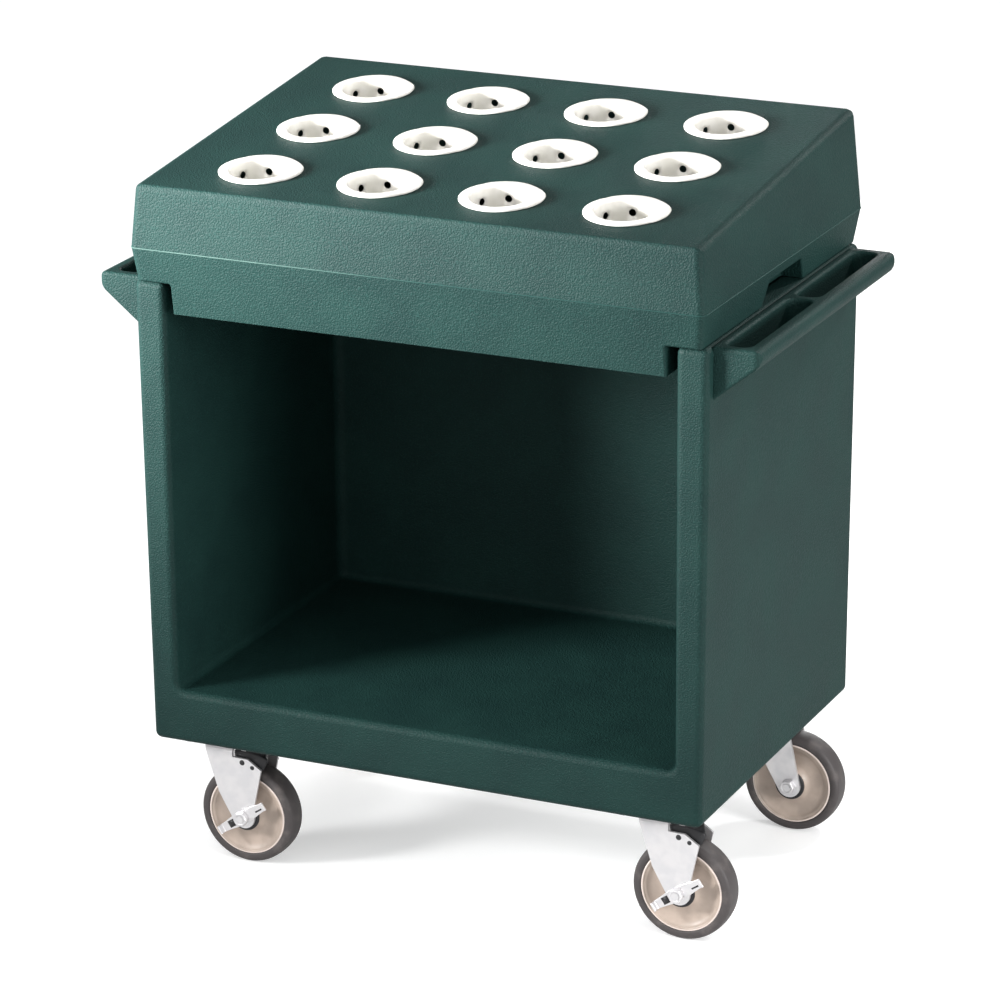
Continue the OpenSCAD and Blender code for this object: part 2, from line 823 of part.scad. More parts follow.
cart_body();
cutlery_rack();
for (place = cup_places) {
    cup(place);
}
for (corner = corners) {
    at_corner(corner) top_plate();
    at_corner(corner) fork(corner[3]);
    at_corner(corner) axle_bolt(corner[3]);
    at_corner(corner) axle_nut(corner[3]);
    at_corner(corner) thread_guards();
    at_corner(corner) wheel_core();
    at_corner(corner) tyre();
    at_corner(corner) bush();
}
for (corner = braked_corners) {
    at_corner(corner) brake_lever();
    at_corner(corner) brake_shoe();
    at_corner(corner) brake_pin();
}
kingpins();
kingpin_nuts();
swivel_balls();
caster_bolts();
caster_washers();
caster_inserts();
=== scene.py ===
import bmesh
import bpy
import numpy as np
from mathutils import Matrix


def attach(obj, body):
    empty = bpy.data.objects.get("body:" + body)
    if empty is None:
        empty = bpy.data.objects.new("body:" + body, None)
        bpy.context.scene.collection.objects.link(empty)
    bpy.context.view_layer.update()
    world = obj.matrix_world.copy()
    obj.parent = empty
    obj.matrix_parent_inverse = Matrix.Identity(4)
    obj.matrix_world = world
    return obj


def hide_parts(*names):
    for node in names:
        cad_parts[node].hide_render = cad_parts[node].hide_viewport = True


# Cutlery trolley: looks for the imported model. Shapes are worked out in millimetres, and meshes are in metres.
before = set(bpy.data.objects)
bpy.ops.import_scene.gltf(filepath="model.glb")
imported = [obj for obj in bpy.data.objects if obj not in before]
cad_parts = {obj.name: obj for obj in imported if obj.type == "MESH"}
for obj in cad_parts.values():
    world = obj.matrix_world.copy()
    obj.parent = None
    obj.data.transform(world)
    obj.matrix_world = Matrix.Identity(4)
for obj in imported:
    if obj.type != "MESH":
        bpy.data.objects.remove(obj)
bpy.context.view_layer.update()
mm = 0.001
corners = ["front_left", "front_right", "rear_left", "rear_right"]
braked = ["front_left", "front_right"]
near = 2  # millimetres within which two places of a fold count as the same
steep = 0.5  # share of a fold's run that goes upwards, from which it counts as upright
print("frame loaded:", len(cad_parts), "nodes")

# Camera at the photograph's viewing angle, without shift: place in millimetres, turns in radians, and the
# focal length in pixels of the frame
cameraSettings = {"place": (2607.1, -5668.1, 2678.7), "yaw": 0.4318, "pitch": -0.3308, "roll": -0.008,
                  "focal": 4509.7, "frame": 1000, "sensor": 36, "farthest": 60}


# Links a camera or a lamp to the scene at a place in metres, with these directions for its own three axes
def setUp(item, x, y, z, place):
    turn = np.eye(4)
    turn[:3] = np.stack([x, y, z, place], 1)
    item.matrix_world = Matrix(turn.tolist())
    bpy.context.scene.collection.objects.link(item)


def addCamera(s):
    cy, sy, cp, sp = np.cos(s["yaw"]), np.sin(s["yaw"]), np.cos(s["pitch"]), np.sin(s["pitch"])
    ahead = np.array([-sy * cp, cy * cp, sp])
    level = np.array([cy, sy, 0])
    upright = np.cross(level, ahead)
    right = level * np.cos(s["roll"]) + upright * np.sin(s["roll"])
    up = upright * np.cos(s["roll"]) - level * np.sin(s["roll"])
    data = bpy.data.cameras.new("photo_camera")
    data.sensor_width, data.clip_end = s["sensor"], s["farthest"]
    data.lens = s["focal"] / s["frame"] * s["sensor"]
    camera = bpy.data.objects.new("photo_camera", data)
    setUp(camera, right, up, -ahead, np.array(s["place"]) * mm)
    bpy.context.scene.camera = camera


addCamera(cameraSettings)
print("camera placed")


# Shader maths: a wire is a socket, and expressions on wires add Math nodes
class Wire:
    def __init__(self, tree, socket):
        self.tree, self.socket = tree, socket

    def node(self, kind, settings, sockets, output=0):
        made = self.tree.nodes.new(kind)
        for key, value in settings.items():
            setattr(made, key, value)
        for key, value in sockets.items():
            if isinstance(value, Wire):
                self.tree.links.new(value.socket, made.inputs[key])
            else:
                made.inputs[key].default_value = value
        return Wire(self.tree, made.outputs[output])

    def maths(self, operation, a, b):
        return self.node("ShaderNodeMath", {"operation": operation}, {0: a, 1: b})

    def __add__(self, other):
        return self.maths("ADD", self, other)

    def __sub__(self, other):
        return self.maths("SUBTRACT", self, other)

    def __mul__(self, other):
        return self.maths("MULTIPLY", self, other)

    def __radd__(self, other):
        return self.maths("ADD", other, self)

    def __rsub__(self, other):
        return self.maths("SUBTRACT", other, self)

    def __rmul__(self, other):
        return self.maths("MULTIPLY", other, self)

    # a noise pattern of this size in millimetres
    def noise(self, size, detail, rough=0.5):
        return self.node("ShaderNodeTexNoise", {"noise_dimensions": "3D"},
                         {"Vector": self, "Scale": 1000 / size, "Detail": detail, "Roughness": rough})

    # a middle value that this noise, which lies about 0.5, moves up and down
    def vary(self, middle, swing):
        return middle + (self - 0.5) * swing

    # 0 below the low value and 1 above the high one
    def between(self, low, high):
        return self.node("ShaderNodeMapRange", {"clamp": True, "interpolation_type": "SMOOTHSTEP"},
                         {"Value": self, "From Min": low, "From Max": high, "To Min": 0.0, "To Max": 1.0})

    def mix(self, first, second):
        return self.node("ShaderNodeMix", {"data_type": "RGBA", "blend_type": "MIX"},
                         {0: self, 6: first, 7: second}, 2)

    # a normal for a surface that this value raises by up to a height in millimetres
    def bump(self, height):
        return self.node("ShaderNodeBump", {}, {"Height": self, "Strength": 1.0, "Distance": height * mm})


# An empty material with its Principled shader and the wire of its object coordinates
def newFinish(name, **fixed):
    material = bpy.data.materials.new(name)
    material.use_nodes = True
    tree = material.node_tree
    shader = tree.nodes["Principled BSDF"]
    for key, value in fixed.items():
        shader.inputs[key.replace("_", " ")].default_value = value
    place = Wire(tree, tree.nodes.new("ShaderNodeTexCoord").outputs["Object"])
    return material, place, shader


def connect(shader, **wires):
    for key, wire in wires.items():
        wire.tree.links.new(wire.socket, shader.inputs[key.replace("_", " ")])


# The linear colour of screen values from 0 to 255
def colour(r, g, b):
    share = np.array([r, g, b]) / 255
    linear = np.where(share <= 0.04045, share / 12.92, ((share + 0.055) / 1.055) ** 2.4)
    return (*linear.tolist(), 1.0)


# In the finishes noises are (size in mm, detail, roughness), names with From are the range of a noise that
# counts, and pairs of rough and coat are a middle value and its swing.
# Moulded polyethylene: dark green with a fine pebbled skin and a faint lighter fleck
mouldedSettings = {"deep": (17, 40, 38), "pale": (20, 45, 42), "fleck": (34, 64, 60), "fleckShare": 0.5,
                   "cloud": (90, 3.0), "grain": (2.4, 2.0, 0.6), "pebble": (2.4, 1.5, 0.45), "height": 0.46,
                   "cloudFrom": (0.3, 0.7), "grainFrom": (0.55, 0.72), "pebbleFrom": (0.32, 0.68),
                   "rough": (0.58, 0.3), "cloudRough": 0.06, "specular": 0.12}


def mouldedFinish(s):
    material, place, shader = newFinish("moulded_green", Specular_IOR_Level=s["specular"])
    cloud = place.noise(*s["cloud"])
    grain = place.noise(*s["grain"])
    pebble = place.noise(*s["pebble"])
    body = cloud.between(*s["cloudFrom"]).mix(colour(*s["deep"]), colour(*s["pale"]))
    flecked = (grain.between(*s["grainFrom"]) * s["fleckShare"]).mix(body, colour(*s["fleck"]))
    connect(shader, Base_Color=flecked, Roughness=cloud.vary(pebble.vary(*s["rough"]), s["cloudRough"]),
            Normal=pebble.between(*s["pebbleFrom"]).bump(s["height"]))
    return material


# Glossy white cup plastic with a barely uneven skin
cupSettings = {"white": (218, 216, 211), "shade": (208, 206, 199), "cloud": (22, 2.0), "skin": (6, 1.0),
               "height": 0.02, "cloudFrom": (0.35, 0.65), "rough": (0.24, 0.12), "coat": (0.25, 0.1),
               "coatRough": 0.12, "specular": 0.5}


def cupFinish(s):
    material, place, shader = newFinish("cup_white", Specular_IOR_Level=s["specular"],
                                        Coat_Roughness=s["coatRough"])
    cloud = place.noise(*s["cloud"])
    skin = place.noise(*s["skin"])
    connect(shader, Base_Color=cloud.between(*s["cloudFrom"]).mix(colour(*s["shade"]), colour(*s["white"])),
            Roughness=skin.vary(*s["rough"]), Coat_Weight=cloud.vary(*s["coat"]), Normal=skin.bump(s["height"]))
    return material


# Bright zinc plate: a clean metal with rolled streaks and cloudy patches
zincSettings = {"bright": (224, 222, 223), "dull": (210, 209, 211), "streaks": (1.6, 3.0),
                "stretch": (0.25, 0.25, 1.6), "cloud": (26, 2.0), "height": 0.006, "cloudFrom": (0.35, 0.7),
                "metal": 0.82, "metalDrop": 0.06, "rough": (0.36, 0.06), "dullRough": 0.06}


def zincFinish(s):
    material, place, shader = newFinish("zinc_plate")
    drawn = place.node("ShaderNodeMapping", {}, {"Vector": place, "Scale": s["stretch"]})
    streaks = drawn.noise(*s["streaks"])
    patch = place.noise(*s["cloud"]).between(*s["cloudFrom"])
    middle, swing = s["rough"]
    connect(shader, Base_Color=patch.mix(colour(*s["bright"]), colour(*s["dull"])),
            Metallic=s["metal"] - patch * s["metalDrop"],
            Roughness=streaks.vary(middle + patch * s["dullRough"], swing), Normal=streaks.bump(s["height"]))
    return material


# Wheel plastic: warm taupe, a little cloudy, with a pale bead where the mesh is marked as rim
wheelSettings = {"warm": (174, 158, 146), "cool": (156, 142, 131), "bead": (226, 212, 204), "cloud": (35, 3.0),
                 "skin": (3, 2.0), "height": 0.03, "cloudFrom": (0.35, 0.65), "rough": (0.42, 0.2),
                 "specular": 0.45}


def wheelFinish(s):
    material, place, shader = newFinish("wheel_taupe", Specular_IOR_Level=s["specular"])
    cloud = place.noise(*s["cloud"])
    skin = place.noise(*s["skin"])
    rim = place.node("ShaderNodeAttribute", {"attribute_name": "rim"}, {}, "Fac")
    web = cloud.between(*s["cloudFrom"]).mix(colour(*s["cool"]), colour(*s["warm"]))
    connect(shader, Base_Color=rim.mix(web, colour(*s["bead"])),
            Roughness=skin.vary(*s["rough"]), Normal=skin.bump(s["height"]))
    return material


# Tyre rubber: warm grey, scuffed paler in patches, with a fine matt skin
tyreSettings = {"dark": (64, 60, 60), "worn": (96, 90, 88), "cloud": (28, 4.0, 0.6), "skin": (1.4, 2.0),
                "height": 0.05, "cloudFrom": (0.48, 0.75), "cloudShare": 0.7, "skinFrom": (0.6, 0.8),
                "skinShare": 0.2, "rough": 0.55, "wornRough": 0.25, "specular": 0.35}


def tyreFinish(s):
    material, place, shader = newFinish("tyre_rubber", Specular_IOR_Level=s["specular"])
    skin = place.noise(*s["skin"])
    patches = place.noise(*s["cloud"]).between(*s["cloudFrom"])
    scuff = patches * s["cloudShare"] + skin.between(*s["skinFrom"]) * s["skinShare"]
    connect(shader, Base_Color=scuff.mix(colour(*s["dark"]), colour(*s["worn"])),
            Roughness=s["rough"] + scuff * s["wornRough"], Normal=skin.bump(s["height"]))
    return material


# Black of the guards and brake shoes, rubbed paler in places; the same black on the legs' dark heads and on the
# lever's marks is painted shade
blackSettings = {"deep": (30, 30, 32), "worn": (58, 57, 58), "cloud": (12, 3.0), "skin": (1.8, 2.0),
                 "height": 0.06, "cloudFrom": (0.5, 0.8), "wornShare": 0.6, "rough": (0.45, 0.3),
                 "specular": 0.4}


def blackFinish(s):
    material, place, shader = newFinish("black_plastic", Specular_IOR_Level=s["specular"])
    skin = place.noise(*s["skin"])
    rubbed = place.noise(*s["cloud"]).between(*s["cloudFrom"]) * s["wornShare"]
    connect(shader, Base_Color=rubbed.mix(colour(*s["deep"]), colour(*s["worn"])),
            Roughness=skin.vary(*s["rough"]), Normal=skin.bump(s["height"]))
    return material


# Brass of the bushes and inserts
brassSettings = {"bright": (190, 152, 92), "dull": (150, 116, 66), "cloud": (6, 3.0), "turned": (0.8, 1.0),
                 "height": 0.02, "cloudFrom": (0.35, 0.7), "metal": 0.9, "metalDrop": 0.05, "rough": (0.3, 0.2)}


def brassFinish(s):
    material, place, shader = newFinish("bush_brass")
    cloud = place.noise(*s["cloud"])
    turned = place.noise(*s["turned"])
    connect(shader, Base_Color=cloud.between(*s["cloudFrom"]).mix(colour(*s["bright"]), colour(*s["dull"])),
            Metallic=s["metal"] - cloud * s["metalDrop"], Roughness=turned.vary(*s["rough"]),
            Normal=turned.bump(s["height"]))
    return material


finishes = {
    "moulded_body": mouldedFinish(mouldedSettings), "cup_plastic": cupFinish(cupSettings),
    "zinc_plate": zincFinish(zincSettings), "wheel_plastic": wheelFinish(wheelSettings),
    "tyre_rubber": tyreFinish(tyreSettings), "black_plastic": blackFinish(blackSettings),
    "bush_brass": brassFinish(brassSettings)}
finishes["moulded_rack"] = finishes["moulded_body"]
print("finishes made:", len(finishes))


# Quads of a grid of points numbered row by row
def gridFaces(rows, columns, wrapRows=False, wrapColumns=False):
    i, j = np.meshgrid(np.arange(rows - (not wrapRows)), np.arange(columns - (not wrapColumns)), indexing="ij")
    down, across = (i + 1) % rows, (j + 1) % columns
    quads = np.stack([i * columns + j, i * columns + across, down * columns + across, down * columns + j], -1)
    return quads.reshape(-1, 4)


# Points closer than a thousandth become one; a quad with one short side becomes a triangle, and flat ones go
def weld(points, faces):
    points, number = np.unique(np.round(points, 3), axis=0, return_inverse=True)
    number = number.ravel()
    kept = []
    for face in faces:
        face = number[face]
        same = face == np.roll(face, -1, axis=1)
        kept.append(face[~same.any(1)])
        if face.shape[1] == 4:
            for k in range(4):
                kept.append(np.delete(face[same[:, k] & (same.sum(1) == 1)], k, axis=1))
    used, flat = np.unique(np.concatenate([face.ravel() for face in kept]), return_inverse=True)
    ends = np.cumsum([face.size for face in kept])[:-1]
    return points[used], [part.reshape(face.shape) for part, face in zip(np.split(flat.ravel(), ends), kept)]


def joined(parts):
    starts = np.cumsum([0] + [len(points) for points, faces in parts[:-1]])
    return (np.concatenate([points for points, faces in parts]),
            [face + start for (points, faces), start in zip(parts, starts) for face in faces])


# A piece at the origin with its place in its mesh, riding on a body and standing for a CAD node
def makePiece(name, shape, finish, body, node):
    points, faces = weld(*shape)
    mesh = bpy.data.meshes.new(name)
    mesh.from_pydata((points * mm).tolist(), [], [corner for face in faces for corner in face.tolist()])
    shell = bmesh.new()
    shell.from_mesh(mesh)
    bmesh.ops.recalc_face_normals(shell, faces=shell.faces)
    shell.to_mesh(mesh)
    shell.free()
    mesh.polygons.foreach_set("use_smooth", np.ones(len(mesh.polygons), bool))
    mesh.materials.append(finishes[finish])
    piece = bpy.data.objects.new(name, mesh)
    bpy.context.scene.collection.objects.link(piece)
    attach(piece, body)
    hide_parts(node)
    return piece


# Rounds the folds of a piece from leastFold degrees up: a fold's radius comes from its middle and direction
def roundFolds(piece, radiusAt, widest, segments=5, leastFold=9):
    mesh = piece.data
    edgeOfLoop, sides = np.empty(len(mesh.loops), np.int32), np.empty(len(mesh.polygons), np.int32)
    normal, ends = np.empty(len(mesh.polygons) * 3, np.float32), np.empty(len(mesh.edges) * 2, np.int32)
    points = np.empty(len(mesh.vertices) * 3, np.float32)
    mesh.loops.foreach_get("edge_index", edgeOfLoop)
    mesh.polygons.foreach_get("loop_total", sides)
    mesh.polygons.foreach_get("normal", normal)
    mesh.edges.foreach_get("vertices", ends)
    mesh.vertices.foreach_get("co", points)
    normal, ends, points = normal.reshape(-1, 3), ends.reshape(-1, 2), points.reshape(-1, 3) / mm
    faceOfLoop = np.repeat(np.arange(len(sides)), sides)
    order = np.argsort(edgeOfLoop, kind="stable")
    count = np.bincount(edgeOfLoop, minlength=len(ends))
    start = np.cumsum(count) - count
    pair = np.flatnonzero(count == 2)
    first, second = faceOfLoop[order[start[pair]]], faceOfLoop[order[start[pair] + 1]]
    fold = np.zeros(len(ends))
    fold[pair] = np.degrees(np.arccos(np.clip((normal[first] * normal[second]).sum(1), -1, 1)))
    middle, along = points[ends].mean(1), np.abs(points[ends[:, 1]] - points[ends[:, 0]])
    radius = np.where(fold > leastFold, radiusAt(middle, along / along.sum(1, keepdims=True)), 0)
    weights = mesh.attributes.new("bevel_weight_edge", "FLOAT", "EDGE")
    weights.data.foreach_set("value", np.clip(radius / widest, 0, 1).astype(np.float32))
    rounding = piece.modifiers.new("Rounding", "BEVEL")
    rounding.limit_method, rounding.width, rounding.segments = "WEIGHT", widest * mm, segments
    rounding.use_clamp_overlap = False
    rounding.miter_outer = "MITER_ARC"


def flatShading(piece):
    weighted = piece.modifiers.new("Shading", "WEIGHTED_NORMAL")
    weighted.mode, weighted.weight, weighted.keep_sharp = "FACE_AREA", 60, False


# A sheet's middle surface gets its thickness and slightly rounded edges
def sheetMetal(piece, thickness, rounding):
    sheet = piece.modifiers.new("Sheet", "SOLIDIFY")
    sheet.thickness, sheet.offset, sheet.use_even_offset = thickness * mm, 0, True
    edge = piece.modifiers.new("Edge", "BEVEL")
    edge.width, edge.segments, edge.limit_method, edge.angle_limit = rounding * mm, 2, "ANGLE", 0.9
    flatShading(piece)


# Wide flat faces instead of many small ones
def mergeFlats(piece):
    shell = bmesh.new()
    shell.from_mesh(piece.data)
    bmesh.ops.dissolve_limit(shell, angle_limit=0.01, verts=shell.verts, edges=shell.edges)
    shell.to_mesh(piece.data)
    shell.free()


# A solid of cells: corner points on a warped lattice, and quads wherever a filled cell meets an empty one
def cellSolid(place, filled):
    number = np.arange(place[..., 0].size).reshape(place.shape[:3])
    padded = np.pad(filled, 1).astype(int)
    quads = []
    for axis in range(3):
        cells, n = np.moveaxis(padded, axis, 0), np.moveaxis(number, axis, 0)
        i, j, k = np.nonzero(np.diff(cells, axis=0)[:, 1:-1, 1:-1])
        quads.append(np.stack([n[i, j, k], n[i, j + 1, k], n[i, j + 1, k + 1], n[i, j, k + 1]], 1))
    return place.reshape(-1, 3), [np.concatenate(quads)]


# Each corner of an outline becomes an arc tangent to both of its sides; a radius of 0 keeps the corner
def softCorners(points, radii, steps=6):
    p, r = np.array(points, float), np.array(radii, float)
    a, b = np.roll(p, 1, 0) - p, np.roll(p, -1, 0) - p
    a, b = a / np.linalg.norm(a, axis=1, keepdims=True), b / np.linalg.norm(b, axis=1, keepdims=True)
    half = np.arccos(np.clip((a * b).sum(1), -1, 1)) / 2
    middle = a + b
    middle /= np.linalg.norm(middle, axis=1, keepdims=True) + 1e-9
    centre = p + middle * (r / np.sin(half))[:, None]
    start = p + a * (r / np.tan(half))[:, None] - centre
    end = p + b * (r / np.tan(half))[:, None] - centre
    turn = np.arctan2(start[:, 0] * end[:, 1] - start[:, 1] * end[:, 0], (start * end).sum(1))
    angle = np.arctan2(start[:, 1], start[:, 0])[:, None] + turn[:, None] * np.linspace(0, 1, steps + 1)
    return (centre[:, None] + r[:, None, None] * np.stack([np.cos(angle), np.sin(angle)], -1)).reshape(-1, 2)


# Corners of a rectangle, for a section
def rectangle(u0, u1, v0, v1):
    return [(u0, v0), (u1, v0), (u1, v1), (u0, v1)]


# A profile of (radius, distance along Y) turned once about an axis along Y; a closed profile joins its ends
def turnedY(profile, centre, steps=72, closed=True):
    profile = np.asarray(profile, float)
    angle = np.arange(steps) / steps * 2 * np.pi
    r, y = profile[None, :, 0], profile[None, :, 1]
    points = np.stack([centre[0] + r * np.cos(angle)[:, None], centre[1] + y + 0 * angle[:, None],
                       centre[2] + r * np.sin(angle)[:, None]], -1)
    return points.reshape(-1, 3), [gridFaces(steps, len(profile), True, closed)]


# The same about an axis along Z, with the profile's second number as height
def turnedZ(profile, centre, steps=72, closed=True):
    points, faces = turnedY(profile, (0, 0, 0), steps, closed)
    return points[:, [0, 2, 1]] + np.array(centre), faces


# A rectangle with a round hole: rings from the rectangle's border, n points to a side, to the hole's circle. An
# evenness of 1 spaces the circle's points evenly, and 0 keeps them in line with the border's
def holedPatch(u0, u1, v0, v1, centre, radius, n, rings=3, evenness=0.65):
    t = np.arange(n) / n
    border = np.concatenate([
        np.stack([u0 + (u1 - u0) * t, v0 + 0 * t], 1), np.stack([u1 + 0 * t, v0 + (v1 - v0) * t], 1),
        np.stack([u1 + (u0 - u1) * t, v1 + 0 * t], 1), np.stack([u0 + 0 * t, v1 + (v0 - v1) * t], 1)])
    away = border - np.array(centre)
    angle = np.arctan2(away[:, 1], away[:, 0])
    even = angle[0] + np.arange(4 * n) / (4 * n) * 2 * np.pi
    angle = np.unwrap(angle) * (1 - evenness) + even * evenness
    circle = np.array(centre) + radius * np.stack([np.cos(angle), np.sin(angle)], 1)
    share = np.linspace(0, 1, rings + 1)[:, None, None]
    return border * (1 - share) + circle * share, gridFaces(rings + 1, 4 * n, False, True)


# Cabinet: a block with the open bay taken out, and a push handle with two finger pockets on each side
cabinetSettings = {"top": 440, "foot": 433, "front": -293, "back": 293, "low": 200, "floor": 280, "high": 900,
                   "bay": 392, "bayBack": 243, "edge": 11, "bayCorner": 16}
handleSettings = {"root": 430, "ledge": 449, "trough": 485, "tip": 507, "rows": (-274, -257, -13, 3, 247, 264),
                  "wall": 440, "drop": 76, "rim": 22, "rimFlat": 0.6, "floor": 9, "soft": 5, "scoop": 13}


# The cabinet's walls lean out from foot to top; of its cells only the bay's is empty
def cabinetBlock(s):
    z = np.array([s["low"], s["floor"], s["high"]], float)
    outer = s["foot"] + (s["top"] - s["foot"]) * (z - s["low"]) / (s["high"] - s["low"])
    place = np.zeros((4, 3, 3, 3))
    place[0, ..., 0], place[1, ..., 0], place[2, ..., 0], place[3, ..., 0] = -outer, -s["bay"], s["bay"], outer
    place[..., 1] = np.array([s["front"], s["bayBack"], s["back"]])[None, :, None]
    place[..., 2] = z
    filled = np.ones((3, 2, 2), bool)
    filled[1, 0, 1] = False
    return cellSolid(place, filled)


# The handle's underside rises from the wall to the rim, and the trough floors follow it
def handleBlock(s, high, side):
    x = np.array([s["root"], s["ledge"], s["trough"], s["tip"]], float)
    under = high - s["drop"] + (s["drop"] - s["rim"]) * (x - s["wall"]) / (s["tip"] - s["wall"])
    place = np.zeros((4, 6, 3, 3))
    place[..., 0] = side * x[:, None, None]
    place[..., 1] = np.array(s["rows"])[None, :, None]
    place[..., 2] = np.stack([under, under + s["floor"], np.full(4, high)], 1)[:, None, :]
    filled = np.ones((3, 5, 2), bool)
    filled[1, [1, 3], 1] = False
    return cellSolid(place, filled)


def makeCabinet(s, h):
    shape = joined([cabinetBlock(s), handleBlock(h, s["high"], 1), handleBlock(h, s["high"], -1)])
    piece = makePiece("cabinet", shape, "moulded_body", "cart", "cart_body")
    mergeFlats(piece)

    def radiusAt(middle, along):
        x, y, z = np.abs(middle[:, 0]), middle[:, 1], middle[:, 2]
        handle = x > s["top"] + near
        rim = handle & (x > h["tip"] - near)
        bayCorner = (along[:, 2] > steep) & (np.abs(y - s["bayBack"]) < near) & (x < s["top"] - near)
        between = (y > h["rows"][1] - near) & (y < h["rows"][4] + near)
        inside = (x < h["trough"] + near) & (z < s["high"] - near) & (z > s["high"] - h["drop"] + h["floor"])
        radius = np.where(bayCorner, s["bayCorner"], s["edge"])
        radius = np.where(handle, np.where(between & inside, h["scoop"], h["soft"]), radius)
        return np.where(rim, h["rim"] / 2 - h["rimFlat"], radius)

    roundFolds(piece, radiusAt, s["bayCorner"])
    flatShading(piece)


makeCabinet(cabinetSettings, handleSettings)
print("cabinet made")

# Rack: a hollow hat with a sloping top, a crease round its sides, hand notches and a skirt between the walls
rackSettings = {"seat": 900.3, "crease": 950.3, "front": 1042.3, "rear": 1100.3, "wide": 439, "deep": 306,
                "ledgeSide": 6, "ledgeFace": 14, "topSide": 8, "topFront": 6, "topRear": 18, "skirt": 378,
                "skirtBack": 229, "skirtLow": 855.3, "notchLow": 80, "notchHigh": 60, "notchRise": 35,
                "notchIn": 40, "skin": 6, "edge": 12, "topEdge": 10, "creaseEdge": 2.0, "ledgeEdge": 3.5,
                "notchEdge": 2.5, "columns": (-374, -187, 0, 187, 374), "rows": (-280, -111.5, 69.5, 256),
                "hole": 48, "cupX": (-280.5, -93.5, 93.5, 280.5), "cupY": (-202, -21, 160), "border": 16}
topFront = rackSettings["topFront"] - rackSettings["deep"]
topRear = rackSettings["deep"] - rackSettings["topRear"]
slopeRise = (rackSettings["rear"] - rackSettings["front"]) / (topRear - topFront)
slopeAngle = np.arctan(slopeRise)


def slopeHeight(y):
    return rackSettings["front"] + (np.asarray(y, float) - topFront) * slopeRise


# The right half's corner points by name, and their mirror images with the sign -1
def rackPoints(s, side):
    low, crease = s["seat"], s["crease"]
    ledge, face = s["wide"] - s["ledgeSide"], s["deep"] - s["ledgeFace"]
    # the front is one plane from the crease to the skirt's lower edge
    front = s["deep"] - s["ledgeFace"] * (crease - low) / (crease - s["skirtLow"])
    share = s["notchRise"] / (crease - low)
    bulge, top = ledge + s["ledgeSide"] * share, low + s["notchRise"]
    inner = s["wide"] - s["notchIn"]
    named = {
        "topFront": (s["wide"] - s["topSide"], topFront, s["front"]),
        "topRear": (s["wide"] - s["topSide"], topRear, s["rear"]),
        "creaseFront": (s["wide"], -s["deep"], crease), "creaseRear": (s["wide"], s["deep"], crease),
        "ledgeFront": (ledge, -front, low), "ledgeRear": (ledge, face, low),
        "notchFront": (ledge, -s["notchLow"], low), "notchRear": (ledge, s["notchLow"], low),
        "notchFrontUp": (bulge, -s["notchHigh"], top), "notchRearUp": (bulge, s["notchHigh"], top),
        "innerFront": (inner, -s["notchLow"], low), "innerRear": (inner, s["notchLow"], low),
        "innerFrontUp": (inner, -s["notchHigh"], top), "innerRearUp": (inner, s["notchHigh"], top),
        "skirtFront": (s["skirt"], -front, low), "skirtRear": (s["skirt"], s["skirtBack"], low),
        "skirtFrontLow": (s["skirt"], -face, s["skirtLow"]),
        "skirtRearLow": (s["skirt"], s["skirtBack"], s["skirtLow"])}
    return list(named), np.array(list(named.values())) * np.array([side, 1, 1])


# The rack's faces as rows of corner names: one side, its mirror image, and the faces that run across
def rackShell(s):
    names, right = rackPoints(s, 1)
    left = rackPoints(s, -1)[1]
    n = len(names)
    at = {**{name: i for i, name in enumerate(names)}, **{"-" + name: n + i for i, name in enumerate(names)}}
    oneSide = [
        "topFront topRear creaseRear creaseFront",
        "creaseFront creaseRear ledgeRear notchRear notchRearUp notchFrontUp notchFront ledgeFront",
        "notchFront notchFrontUp innerFrontUp innerFront", "notchRear innerRear innerRearUp notchRearUp",
        "notchFrontUp notchRearUp innerRearUp innerFrontUp", "innerFront innerFrontUp innerRearUp innerRear",
        "ledgeFront notchFront innerFront innerRear notchRear ledgeRear skirtRear skirtFront",
        "skirtFront skirtRear skirtRearLow skirtFrontLow"]
    across = [
        "topFront creaseFront -creaseFront -topFront", "topRear creaseRear -creaseRear -topRear",
        "creaseFront ledgeFront skirtFront -skirtFront -ledgeFront -creaseFront",
        "skirtFront skirtFrontLow -skirtFrontLow -skirtFront", "creaseRear ledgeRear -ledgeRear -creaseRear",
        "ledgeRear skirtRear -skirtRear -ledgeRear", "skirtRear skirtRearLow -skirtRearLow -skirtRear"]
    mirrored = [" ".join("-" + word for word in words.split()) for words in oneSide]
    faces = [np.array([[at[word] for word in words.split()]]) for words in oneSide + mirrored + across]
    return np.concatenate([right, left]), faces, at


# The stops, with each step between two of them divided into n
def divided(stops, n):
    first, last = np.array(stops[:-1], float)[:, None], np.array(stops[1:], float)[:, None]
    return np.append((first + (last - first) * np.arange(n) / n).ravel(), stops[-1])


# The sloping top: twelve patches with round holes, and four border faces out to the top edges
def rackTop(s, corner):
    n = s["border"]
    parts = []
    for i in range(4):
        for j in range(3):
            flat, quads = holedPatch(s["columns"][i], s["columns"][i + 1], s["rows"][j], s["rows"][j + 1],
                                     (s["cupX"][i], s["cupY"][j]), s["hole"], n)
            flat = flat.reshape(-1, 2)
            parts.append((np.column_stack([flat, slopeHeight(flat[:, 1])]), [quads]))
    x, y = divided(s["columns"], n), divided(s["rows"], n)
    borders = [(np.stack([x, 0 * x + y[0]], 1), "-topFront", "topFront"),
               (np.stack([0 * y + x[-1], y], 1), "topFront", "topRear"),
               (np.stack([x[::-1], 0 * x + y[-1]], 1), "topRear", "-topRear"),
               (np.stack([0 * y + x[0], y[::-1]], 1), "-topRear", "-topFront")]
    for inner, first, second in borders:
        inner = inner[::-1]
        points = np.concatenate([np.column_stack([inner, slopeHeight(inner[:, 1])]),
                                 np.stack([corner[first], corner[second]])])
        parts.append((points, [np.arange(len(points))[None]]))
    return parts


